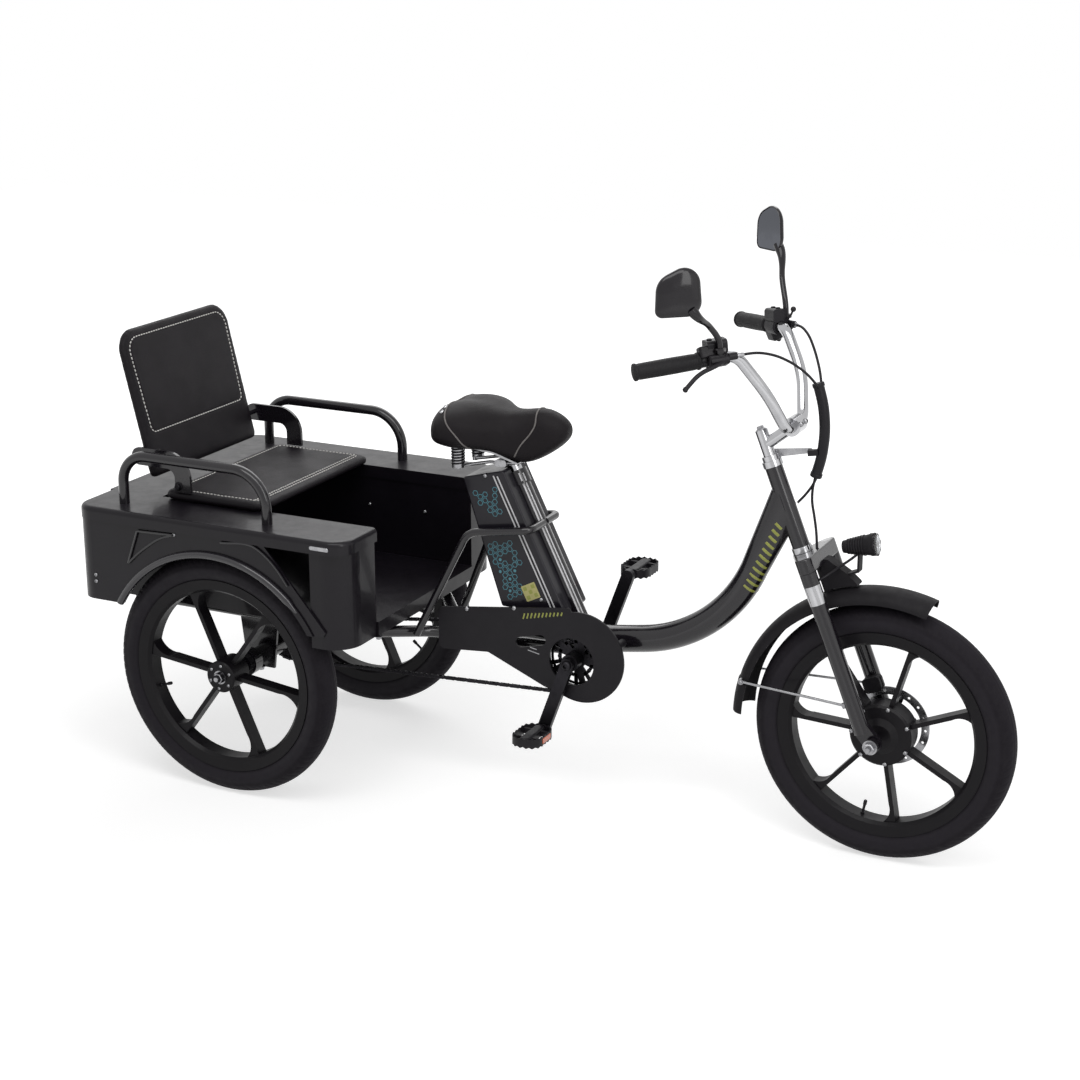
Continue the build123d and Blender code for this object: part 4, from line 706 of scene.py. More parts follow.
def pulledIn(piece, lines, width, depth, inward):
    # a sewn channel: points near a line sink by a bell curve of their distance from it
    points = vertexArray(piece)
    near = np.full(len(points), 1e9)
    for line in lines:
        for part in np.array_split(line, max(1, len(line) // 40)):
            gap = np.linalg.norm(points[:, None] - part[None], axis=2).min(1)
            near = np.minimum(near, gap)
    sink = np.exp(-(near / width) ** 2) * depth
    writeVertices(piece, points + np.array(inward) * sink[:, None])


stitchShape = turned([(0, -0.5), (0.5, -0.42), (0.85, -0.2), (1, 0), (0.85, 0.2), (0.5, 0.42), (0, 0.5)], 8)


def stitches(name, surface, line, body, direction, pitch, length, width, closed=False):
    # short lengths of thread lying along a line on the surface, a pitch apart
    path = evenly(line, pitch, closed)
    start = path - np.array(direction) * 0.04
    places, normals = dropped(surface, start, direction)
    along = unit(np.gradient(places, axis=0))
    scaled = sized(stitchShape, np.array([width / 2, width / 2, length]))
    return makePiece(name, [scattered(scaled, places + normals * width * 0.2, along)], body, "stitch_thread")


seatPad = {"half": 0.2225, "rear": ahead(-193), "front": ahead(57), "low": 0.5958, "high": 0.6132,
           "corner": 0.024, "edge": 0.0075, "crown": 0.0008, "inset": 0.022}


def seatPadPiece():
    # the passenger's seat: a thin padded board, its cover sewn down in a loop near the edge
    p = seatPad
    r = p["corner"]
    corners = [(x, y, r) for x in (p["rear"] + r, p["front"] - r) for y in (-p["half"] + r, p["half"] - r)]
    outline = hullOutline(corners, 260)
    piece = makePiece("seat_pad", [pillow(outline, p["low"], p["high"], p["edge"], p["crown"], 14)],
                      "frame", "seat_vinyl")
    puffed(piece, 0.005, 4.0, 0.0022)
    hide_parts("seat_cushion")
    inset = p["inset"]
    loop = hullOutline([(x, y, 0.012) for x in (p["rear"] + inset + 0.012, p["front"] - inset - 0.012)
                        for y in (-p["half"] + inset + 0.012, p["half"] - inset - 0.012)], 400)
    second = np.stack((np.full(60, p["front"] - inset - 0.009),
                       np.linspace(-p["half"] + inset + 0.004, p["half"] - inset - 0.004, 60)), 1)
    lines = [raised(flat, p["high"] + 0.002) for flat in (loop, second)]
    pulledIn(piece, lines, 0.0035, 0.0011, (0, 0, -1))
    surface = surfaceOf(piece)
    stitches("seat_stitch_loop", surface, lines[0], "frame", (0, 0, -1), 0.0088, 0.0068, 0.0028, True)
    stitches("seat_stitch_front", surface, lines[1], "frame", (0, 0, -1), 0.0088, 0.0068, 0.0028)


backPad = {"half": 0.1965, "low": -0.057, "high": 0.263, "thick": 0.0166, "edge": 0.0076, "lean": 13.5,
           "topCorner": 0.05, "lowCorner": 0.012, "crown": 0.0006, "inset": 0.021, "lowSeam": 0.095}


def backPadPiece():
    # the backrest: a padded board that leans back, with its own sewn loop in pale thread
    p = backPad
    lean = math.radians(p["lean"])
    pivot = np.array([ahead(-247), 0, 0.682])
    up = np.array([-math.sin(lean), 0, math.cos(lean)])
    normal = np.array([math.cos(lean), 0, math.sin(lean)])

    def onBoard(flat, level):  # (across, up) places on the board as points in space
        flat = np.array(flat)
        return pivot + flat[:, :1] * across + flat[:, 1:2] * up + normal * level

    t, b = p["topCorner"], p["lowCorner"]
    outline = hullOutline([(-p["half"] + t, p["high"] - t, t), (p["half"] - t, p["high"] - t, t),
                           (-p["half"] + b, p["low"] + b, b), (p["half"] - b, p["low"] + b, b)], 300)
    points, quads = pillow(outline, -p["thick"] / 2, p["thick"] / 2, p["edge"], p["crown"], 16, p["crown"])
    shape = (onBoard(points[:, :2], points[:, 2:]), quads)
    piece = makePiece("backrest_pad", [shape], "backrest", "seat_vinyl")
    puffed(piece, 0.005, 4.0, 0.002)
    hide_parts("backrest")
    i = p["inset"]
    w, h, low = p["half"] - i, p["high"] - i, p["low"] + p["lowSeam"]
    loop = hullOutline([(-w + 0.032, h - 0.032, 0.032), (w - 0.032, h - 0.032, 0.032),
                        (-w + 0.02, low + 0.014, 0.014), (w - 0.02, low + 0.014, 0.014)], 500)
    front = onBoard(loop, p["thick"] / 2 + 0.002)
    pulledIn(piece, [front], 0.0035, 0.0011, -normal)
    surface = surfaceOf(piece)
    stitches("backrest_stitch", surface, front + normal * 0.01, "backrest", tuple(-normal), 0.0088,
             0.0068, 0.003, True)


saddleShape = {
    # ahead of the axle, half width, top, underside, all in millimetres
    "stations": [(367, 44, 791, 757), (371, 68, 804, 750), (379, 86, 814, 746), (392, 101, 823, 744),
                 (410, 110, 828, 743.5), (432, 113.5, 830.5, 743.5), (455, 110.5, 830, 743),
                 (478, 99, 826.5, 741), (500, 80, 820, 735), (525, 62, 815, 724), (550, 51, 816.5, 716),
                 (575, 45, 821, 718), (598, 41, 823, 728), (618, 37, 819, 741), (634, 31, 812, 754),
                 (646, 22, 803, 767), (652, 12, 795, 777)],
    "rows": 90, "columns": 96}


def saddlePiece():
    # the saddle: oval sections along its length, full above and drawn in to a flat underside
    table = np.array(saddleShape["stations"], float)
    dense = smoothLine(table, saddleShape["rows"])
    x, half, top, low = dense.T
    angle = np.linspace(0, tau, saddleShape["columns"], endpoint=False)
    c, s = np.cos(angle), np.sin(angle)
    waist = low + (top - low) * 0.42  # the widest level
    wide = np.sign(c) * np.abs(c) ** np.where(s > 0, 0.86, 0.62)
    rise = np.abs(s) ** np.where(s > 0, 0.92, 0.55)
    y = half[:, None] * wide
    z = np.where(s > 0, waist[:, None] + (top - waist)[:, None] * rise,
                 waist[:, None] - (waist - low)[:, None] * rise)
    # a shallow hollow runs down the middle of the wide part
    hollow = np.exp(-(y / 26) ** 2) * np.exp(-((x[:, None] - 425) / 60) ** 2) * (s > 0) * 5.0
    body = np.stack((np.broadcast_to(x[:, None], y.shape), y, z - hollow), -1) / 1000 + [rearAxleX, 0, 0]
    piece = makePiece("saddle_cover", [capped(body)], "frame", "leather")
    puffed(piece, 0.0045, 4.0, 0.0035)
    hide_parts("saddle")
    return piece


def saddleSeam(piece, places, side):
    # piping: a thin cord laid on the cover along a line seen from the side
    surface = surfaceOf(piece)
    line = smoothLine([(ahead(x), y * side, z / 1000) for x, y, z in places], 46)
    found = []
    for point in line:
        target = Vector((point[0], 0, 0.775))
        outward = Vector(point) - target
        if outward.length < 1e-6:
            outward = Vector((0, 0, 1))
        hit = surface.ray_cast(target + outward.normalized() * 0.2, -outward.normalized())
        if hit[0] is not None:
            found.append(list(hit[0] + hit[1] * 0.0004))
    return np.array(found)


seatPadPiece()
backPadPiece()
saddleCover = saddlePiece()
print("padded pieces made")


saddleTrim = {
    "rearSeam": [(396, 0.0, 840), (400, 0.04, 834), (410, 0.08, 818), (428, 0.11, 800), (448, 0.115, 780),
                 (462, 0.105, 758), (468, 0.095, 742)],
    "noseSeam": [(585, 0.0, 840), (588, 0.03, 830), (590, 0.05, 810), (580, 0.055, 780), (560, 0.05, 750),
                 (548, 0.045, 730)],
    "cord": 0.0016, "studs": [(398, 0.060, 828), (399, 0.078, 820)], "stud": 0.005}


def saddleTrimPieces():
    seams = []
    for key in ("rearSeam", "noseSeam"):
        halves = [saddleSeam(saddleCover, saddleTrim[key], side) for side in bothSides]
        path = np.concatenate((halves[0][::-1], halves[1][1:]))
        seams.append(tubeAlong(evenly(path, 0.004), saddleTrim["cord"], 8))
    makePiece("saddle_piping", seams, "frame", "seat_vinyl",
              plainRubber("piping", tone(126, 122, 120), tone(92, 88, 88)))
    surface = surfaceOf(saddleCover)
    places, normals = [], []
    for side in bothSides:
        for x, y, z in saddleTrim["studs"]:
            place, normal, index, gap = surface.find_nearest(Vector((ahead(x), y * side, z / 1000)))
            places.append(list(place))
            normals.append(list(normal))
    makePiece("saddle_studs", [scattered(domeBolt, places, np.array(normals),
                                         sizes=[saddleTrim["stud"]] * len(places))], "frame", "chrome")


saddleTrimPieces()


def nodeTree(*names):
    points, faces = [], []
    for name in names:
        mesh = frame["nodes"][name].data
        mesh.calc_loop_triangles()
        shift = len(points)
        points += [vertex.co.copy() for vertex in mesh.vertices]
        faces += [[shift + i for i in triangle.vertices] for triangle in mesh.loop_triangles]
    return BVHTree.FromPolygons(points, faces)


def fixings(nodes, starts, direction, shape, size):
    # fasteners seated where rays from the starts meet the named nodes
    places, normals = dropped(nodeTree(*nodes), starts, direction)
    if len(places) < len(starts):
        print("seats missed:", nodes, len(starts) - len(places))
    if not len(places):
        return np.zeros((0, 3)), np.zeros((0, 4), int)
    return scattered(shape, places, -np.array(direction, float), sizes=[size] * len(places))


def seated(nodes, near, shape, size):
    # fasteners on the closest place of the named nodes, standing along its normal
    places, normals = hitArrays([nodeTree(*nodes).find_nearest(Vector(place)) for place in near])
    return scattered(shape, places, normals, sizes=[size] * len(places))


def aroundAxle(centre, radius, start, count):
    # places evenly round an axle that runs along y, the first at an angle in degrees
    angle = np.radians(start + np.arange(count) * 360 / count)
    return np.array(centre) + radius * np.stack((np.cos(angle), 0 * angle, np.sin(angle)), 1)


fixingPlaces = {
    "guard": [(452, 403), (561, 421), (668, 252)], "battery": [(486, 686), (612, 440)],
    "panel": [(-88, 561), (262, 548)], "rear": [(-293, 446), (-293, 432)],
    "bracket": [(-247, 682), (-150, 628)], "low": [(334, 355), (349, 360), (416, 350), (455, 352)],
    "wall": [(59, 504), (200, 504)]}


def fixingPieces():
    # everything that is screwed to the frame, the front end and the wheels
    f = fixingPlaces
    panels = ["side_panel_left", "side_panel_right", "rear_panel"]
    shapes = [fixings(["chain_guard"], beside(f["guard"], -0.3), (0, 1, 0), domeBolt, 0.005),
              seated(["lower_rails", "box_floor"], beside(f["low"], -0.21), hexBolt, 0.0062)]
    dark = []
    for side in bothSides:
        inward = (0, -side, 0)
        shapes += [fixings(["battery_case"], beside(f["battery"], side * 0.3), inward, domeBolt, 0.0045),
                   fixings(panels, beside(f["panel"] + f["rear"], side * 0.5), inward, domeBolt, 0.0042),
                   fixings(["box_walls"], beside(f["wall"], 0), (0, side, 0), domeBolt, 0.0042)]
        dark.append(fixings(["backrest_brackets"], beside(f["bracket"], side * 0.3), inward, hexBolt, 0.0072))
    makePiece("bracket_bolts", dark, "frame", "dark_steel")
    rails = [(ahead(x), y, 0.2) for x in (-250, 0, 250) for y in (-0.165, 0.165)]
    shapes.append(fixings(["lower_rails"], rails, (0, 0, 1), hexBolt, 0.0075))
    makePiece("frame_bolts", shapes, "frame", "bright_steel")

    shapes = []
    for side in bothSides:
        inward = (0, -side, 0)
        wheel = [(hubs["front"][0], side * 0.3, axleZ)]
        shapes.append(fixings(["fork_legs"], wheel, inward, nutShape, 0.0115))
        shapes.append(fixings(["fender_stays"], [(0.4302, side * 0.2, 0.3314)], inward, domeBolt, 0.0046))
        clamp = np.array([ahead(1122), side * 0.013, 0.85]) + steerFwd * 0.1
        shapes.append(fixings(["stem"], [clamp], tuple(-steerFwd), domeBolt, 0.0055))
    shapes.append(fixings(["stem"], [steerFoot + steerUp * 0.4], tuple(-steerUp), hexBolt, 0.0075))
    makePiece("front_end_bolts", shapes, "steering", "bright_steel")

    ring = aroundAxle((hubs["front"][0], 0, axleZ), 0.0575, 25, 7)
    shapes = [fixings(["front_rim"], ring + across * side * 0.2, (0, -side, 0), domeBolt, 0.0044)
              for side in bothSides]
    makePiece("hub_screws", shapes, "front_wheel", "bright_steel")

    for side, end in ((1, "left"), (-1, "right")):
        ring = aroundAxle((rearAxleX, side * 0.5, axleZ), 0.025, 23, 6)
        screws = fixings([f"rear_rim_{end}"], ring, (0, -side, 0), domeBolt, 0.0036)
        nut = placed(sized(nutShape, 0.0115), (rearAxleX, side * 0.3165, axleZ), (0, side, 0))
        makePiece(f"rear_wheel_{end}_nuts", [screws, nut], f"rear_wheel_{end}", "bright_steel")

    caps = [fixings(["crankset"], [(crankX, side * 0.3, crankZ)], (0, -side, 0), domeBolt, 0.0105)
            for side in bothSides]
    ring = aroundAxle((crankX, -0.0514, crankZ), 0.0365, 36, 5)
    caps.append(scattered(domeBolt, ring, (0, -1, 0), sizes=[0.0044] * 5))
    makePiece("crank_bolts", caps, "crankset", "dark_steel")


fixingPieces()
print("fasteners made")


def valvePieces():
    # tyre valves: a thin stem with a capped, slightly thicker end, standing in from the rim
    profile = [(0, 0), (0.0042, 0), (0.0042, 0.003), (0.0027, 0.004), (0.0027, 0.019), (0.0036, 0.0195),
               (0.0036, 0.028), (0.0026, 0.0295), (0, 0.0295)]
    valve = turned(profile, 14)
    for name, hub, angle, body in (("front_valve", hubs["front"], -101, "front_wheel"),
                                   ("rear_valve_right", hubs["rearRight"], -162, "rear_wheel_right"),
                                   ("rear_valve_left", hubs["rearLeft"], -40, "rear_wheel_left")):
        out = np.array([math.cos(math.radians(angle)), 0, math.sin(math.radians(angle))])
        foot = np.array([hub[0], hub[1], axleZ]) + out * 0.1823
        makePiece(name, [placed(valve, foot, -out, (0, 1, 0))], body, "black_plastic")


valvePieces()


chainShape = {"big": (crankX, crankZ, 0.077), "small": (rearAxleX, 0.26, 0.048), "pitch": 0.0127,
              "y": -0.05, "plate": 0.0012, "inner": 0.0019, "outer": 0.0031}


def chainPiece():
    # roller chain: figure-of-eight plates in inner and outer pairs with rollers between them
    c = chainShape
    loop = hullOutline([c["big"], c["small"]], 400)
    length = np.linalg.norm(np.roll(loop, -1, 0) - loop, axis=1).sum()
    count = 2 * round(length / c["pitch"] / 2)
    pins = evenly(loop, length / count, closed=True)
    step = np.roll(pins, -1, 0) - pins
    middle = pins + step / 2
    along = np.stack((step[:, 0], 0 * step[:, 0], step[:, 1]), 1)
    centre = np.stack((middle[:, 0], np.full(len(middle), c["y"]), middle[:, 1]), 1)
    angle = np.linspace(0, tau, 18, endpoint=False)
    half = length / count / 2
    outline = np.stack((np.sign(np.cos(angle)) * half + 0.0042 * np.cos(angle), 0.0041 * np.sin(angle)
                        * (1 - 0.3 * (np.abs(np.cos(angle)) < 0.3))), 1)
    plate = slab(outline, c["plate"], 0.0003)
    shapes = []
    for phase, offset in ((0, c["inner"]), (1, c["outer"])):
        for side in bothSides:
            shift = across * (offset * side - (c["plate"] if side < 0 else 0))
            shapes.append(scattered(plate, centre[phase::2] + shift, across, along[phase::2]))
    pinPlace = np.stack((pins[:, 0], np.full(len(pins), c["y"] - 0.0046), pins[:, 1]), 1)
    pin = turned([(0, 0), (0.0016, 0), (0.0019, 0.0005), (0.0019, 0.0087), (0.0016, 0.0092), (0, 0.0092)], 10)
    shapes.append(scattered(pin, pinPlace, across))
    shapes.append(scattered(rod(0.0038, 0.004, 12), pinPlace + across * 0.0026, across))
    piece = makePiece("roller_chain", shapes, "frame", "dark_steel")
    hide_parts("chain")


chainPiece()
print("chain and valves made")


barEnds = {side: np.array([ahead(908), side * 0.268, 0.986]) for side in bothSides}
barTops = {side: np.array([ahead(1050), side * 0.135, 1.006]) for side in bothSides}


def barFrame(side):
    inward = unit(barTops[side] - barEnds[side])
    forward = unit(np.array([abs(inward[1]), side * inward[0], 0]))
    return inward, forward, np.cross(inward, forward) * side


def barPoint(side, distance, forward, rise):  # millimetres in from the bar's end, ahead of it and above it
    inward, ahead1, up = barFrame(side)
    return barEnds[side] + (inward * distance + ahead1 * forward + up * rise) / 1000


gripShape = {"rows": 190, "columns": 56, "length": 0.1255, "radius": 0.0148, "rib": 0.0004, "ribs": 40,
             "flutes": 14, "flange": 0.0164}


def gripPieces():
    # rubber grips: shallow rings and flutes over most of the length and a flange at each end
    g = gripShape
    t = np.linspace(0, 1, g["rows"])[:, None]
    angle = np.linspace(0, tau, g["columns"], endpoint=False)[None]
    ribbed = np.clip((t - 0.07) / 0.02, 0, 1) * np.clip((0.92 - t) / 0.02, 0, 1)
    ring = np.abs(np.sin(t * math.pi * g["ribs"])) ** 0.6
    flute = 0.5 + 0.5 * np.cos(angle * g["flutes"])
    swell = 0.0005 * np.sin(t * math.pi) ** 2
    radius = g["radius"] + swell + ribbed * g["rib"] * np.maximum(ring, flute * 0.6)
    flange = np.exp(-((t - 0.965) / 0.022) ** 4) + np.exp(-((t - 0.02) / 0.024) ** 4)
    radius = radius + (g["flange"] - g["radius"]) * np.clip(flange, 0, 1)
    radius[0] *= 0.86
    radius[-1] *= 0.9
    shapes = []
    for side in bothSides:
        inward, forward, up = barFrame(side)
        along = barEnds[side] + inward * (t * (g["length"] + 0.0035) - 0.0035)[..., None]
        out = forward * np.cos(angle)[..., None] + up * np.sin(angle)[..., None]
        points = along + radius[..., None] * out
        shapes.append(capped(points))
    piece = makePiece("ribbed_grips", shapes, "steering", "grip_rubber", sharp=60)
    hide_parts("grips")


gripPieces()
mirrorShape = {"centres": {-1: (ahead(988), -0.262, 1.135), 1: (ahead(970), 0.262, 1.176)}, "yaw": 36,
               "outline": [(0.010, 0.016, 0.030), (0.016, -0.016, 0.027), (-0.029, -0.031, 0.013),
                           (-0.004, 0.001, 0.0372)],
               "thick": 0.017, "lip": 0.004, "arm": 0.0058, "rim": 0.0022}


def mirrorPieces():
    # mirrors: a domed back in a rounded triangle, flat glass behind it and a bent arm down to the bar
    m = mirrorShape
    outline = hullOutline(m["outline"], 110)
    middle = outline.mean(0)
    backs, arms, glasses = [], [], []
    for side in bothSides:
        yaw = math.radians(m["yaw"])
        facing = np.array([math.sin(yaw), side * math.cos(yaw), 0])
        inboard = np.array([math.cos(yaw), -side * math.sin(yaw), 0])
        centre = np.array(m["centres"][side])

        def inSpace(plan, level):
            return centre + plan[..., :1] * inboard + plan[..., 1:2] * upward + facing * level

        normal = outlineNormals(outline)
        rows = [inSpace(middle + 0 * outline, -m["thick"] / 2 + 0.002),
                inSpace(outline - normal * m["rim"], -m["thick"] / 2 + 0.002),
                inSpace(outline - normal * m["rim"], -m["thick"] / 2 + 0.0003),
                inSpace(outline - normal * 0.0008, -m["thick"] / 2),
                inSpace(outline, -m["thick"] / 2 + 0.0008)]
        for angle in np.linspace(0.05, math.pi / 2, 22):
            share = math.cos(angle) ** 0.72
            rise = -m["thick"] / 2 + m["lip"] + (m["thick"] - m["lip"]) * math.sin(angle)
            rows.append(inSpace(middle + (outline - middle) * share, rise))
        backs.append(sheetOf(np.array(rows)))
        inner = outline - normal * (m["rim"] + 0.0004)
        glass = slab(inner, 0.0012, 0.0004)
        glasses.append((inSpace(glass[0][:, :2], -m["thick"] / 2 + 0.0009 + glass[0][:, 2:]), glass[1]))
        foot = barPoint(side, 158, 20, 8)
        knee = barPoint(side, 158, 20, 34)
        neck = centre + inboard * 0.031 - upward * 0.039
        shoulder = knee + (neck - knee) * 0.45 + np.array([0, side * -0.006, 0.004])
        entry = neck + unit(centre - neck) * 0.014
        path = smoothLine([foot, knee, shoulder, neck, entry], 50)
        t = np.linspace(0, 1, 50)
        arms.append(tubeAlong(path, m["arm"] + 0.0042 * np.clip((t - 0.62) / 0.3, 0, 1) ** 1.5, 18))
        nut = turned([(0, 0), (0.0105, 0), (0.0115, 0.0015), (0.0115, 0.007), (0.009, 0.009), (0, 0.009)], 6)
        arms.append(placed(nut, foot + unit(knee - foot) * 0.006, knee - foot))
    back = makePiece("mirror_housings", backs + arms, "steering", "gloss_black")
    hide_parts("mirrors")
    makePiece("mirror_glasses", glasses, "steering", "mirror_glass")


mirrorPieces()


def controlPieces():
    # small things on the bar: switches, screws, levers' balls and ferrules
    bright, dark = [], []
    for side in bothSides:
        inward, forward, up = barFrame(side)
        pod = barPoint(side, 157, -2, 22)
        plate = slab(board(0.011, 0.0045, 0.002, 40), 0.0016, 0.0006)
        if side < 0:
            bright.append(placed(plate, pod - forward * 0.0148 + up * 0.001, -forward, inward))
        sleeve = rod(0.0136, 0.011, 28)
        dark.append(placed(sleeve, barPoint(side, 127, 0, 0), inward))
        block = pillow(board(0.012, 0.007, 0.004, 60), -0.011, 0.011, 0.003)
        dark.append(placed(block, barPoint(side, 151, 15, 1), up, inward))
        lower = barPoint(side, 138, 4, -17 if side > 0 else 15)
        dark.append(placed(block, lower, up - forward * 0.4, inward))
        button = turned([(0, 0), (0.0048, 0), (0.0048, 0.002), (0.0036, 0.003), (0, 0.003)], 16)
        for shift in (-0.010, 0.010):
            dark.append(placed(button, pod + up * 0.0128 + inward * shift, up))
        for distance in (142, 170):
            bright.append(placed(sized(domeBolt, 0.0032), barPoint(side, distance, 13, -9), -up + forward))
        tip = turned([(0, -1), (0.6, -0.8), (1, 0), (0.6, 0.8), (0, 1)], 14)
        dark.append(sized(tip, 0.0056, barPoint(side, 77, 45, -36)))
        ferrule = turned([(0, 0), (0.0042, 0), (0.0042, 0.010), (0.0034, 0.013), (0, 0.013)], 12)
        bright.append(placed(ferrule, barPoint(side, 190, 22, 4), inward))
    stalk = smoothLine([barPoint(1, 176, 8, 10), barPoint(1, 186, 16, 22), barPoint(1, 190, 20, 34)], 16)
    dark.append(tubeAlong(stalk, 0.0021, 8))
    ball = turned([(0.0056 * math.cos(a), 0.0056 * math.sin(a))
                   for a in np.linspace(-math.pi / 2, math.pi / 2, 9)], 14)
    dark.append(sized(ball, 1.0, stalk[-1]))
    makePiece("bar_fittings", dark, "steering", "black_plastic")
    makePiece("bar_bright_fittings", bright, "steering", "bright_steel")


controlPieces()


lampShape = {"centre": (ahead(1291), 0, 0.636), "tilt": 12, "radius": 0.0195, "cup": 0.0078, "spread": 0.0088}


def headlightPieces():
    # headlight front: a scalloped bezel, four reflector cups with their light sources and a clear cover
    lamp = lampShape
    tilt = math.radians(lamp["tilt"])
    aim = np.array([math.cos(tilt), 0, math.sin(tilt)])
    lift = np.array([-math.sin(tilt), 0, math.cos(tilt)])
    centre = np.array(lamp["centre"])
    angle = np.linspace(0, tau, 96, endpoint=False)
    rim = 0.0219 + 0.0011 * np.cos(angle * 8)
    profile = [(0.0, 0.0), (1.0, 0.0), (1.0, 0.0026), (0.93, 0.0036), (0.9, 0.0026), (0.9, 0.0004),
               (0.0, 0.0004)]
    rows = [np.stack((rim * share * np.cos(angle), rim * share * np.sin(angle), np.full(96, level)), 1)
            for share, level in profile]
    bezel = placed(sheetOf(np.array(rows)), centre, aim, lift)
    cup = turned([(0, 0.0002), (0.6, 0.0009), (1.0, 0.0024), (1.06, 0.0024), (1.06, 0.0), (0, 0.0)], 24)
    cup = sized(cup, np.array([lamp["cup"], lamp["cup"], 1]))
    spots = [centre + across * y * lamp["spread"] + lift * z * lamp["spread"] + aim * 0.0004
             for y in bothSides for z in bothSides]
    fins = []
    for share in np.linspace(0.15, 0.75, 7):
        radius = 0.0125 + (0.0215 - 0.0125) * share
        ring = hoop(radius - 0.002, radius + 0.0012, -0.0009, 0.0009, 40)
        fins.append(placed(ring, centre - aim * (0.062 - 0.054 * share), aim))
    makePiece("lamp_bezel", [bezel] + fins, "steering", "black_plastic")
    makePiece("lamp_cups", [scattered(cup, spots, aim)], "steering", "chrome")
    led = turned([(0, 0), (0.0026, 0), (0.0024, 0.0009), (0, 0.0014)], 14)
    sources = scattered(led, np.array(spots) + aim * 0.0003, aim)
    makePiece("lamp_sources", [sources], "steering", "stripe_white", extraFinishes["ledWhite"])
    cover = turned([(0, 0.0027), (0.0193, 0.0027), (0.0193, 0.0033), (0.015, 0.0043), (0.008, 0.0049),
                    (0, 0.0051)], 48)
    makePiece("lamp_cover", [placed(cover, centre, aim)], "steering", "lamp_glass")


headlightPieces()
print("front end fittings made")


def stripOn(tree, start, end, direction, width, count=24, thick=0.0003):
    # a thin flat band between two places, laid on the surface that rays in the direction meet
    line = np.array(start) + np.linspace(0, 1, count)[:, None] * (np.array(end) - np.array(start))
    places, normals = dropped(tree, line - np.array(direction) * 0.1, direction)
    if len(places) < 2:
        return []
    return [tubeAlong(places, width / 2, 10, flat=(1.0, 2 * thick / width), guide=normals.mean(0))]


def slantedBars(tree, start, end, direction, count, high, low, width, lean):
    # a row of short bands, each leaning from the row's own direction and a little shorter than the last
    start, end, direction = np.array(start), np.array(end), np.array(direction)
    along = unit(end - start)
    upAcross = unit(np.cross(direction, along))
    upAcross = upAcross * (1 if upAcross @ upward > 0 or abs(upAcross[2]) < 0.2 else -1)
    shapes = []
    for index in range(count):
        share = index / (count - 1)
        middle = start + (end - start) * share
        reach = (high + (low - high) * share) / 2
        arm = unit(upAcross + along * lean) * reach
        shapes += stripOn(tree, middle - arm, middle + arm, direction, width, 10)
    return shapes


printShape = {
    "upper": [(482, 600), (524, 611), (513, 664), (458, 651)],
    "lower": [(538, 430), (566, 424), (574, 490), (547, 556), (490, 540)],
    "cell": 0.0128, "ring": 0.0064, "line": 0.0014, "thick": 0.00025, "kept": 0.9, "filled": 0.12,
    "square": (588, 453), "squareSize": 0.032, "tilt": 26.2, "squareOut": 0.05215, "cellGap": 0.0095,
    "stripe": 0.0033, "stripeShifts": (-17, -8), "tubeHighlightWidth": 0.003, "tubeHighlightTurns": (28, 52)}


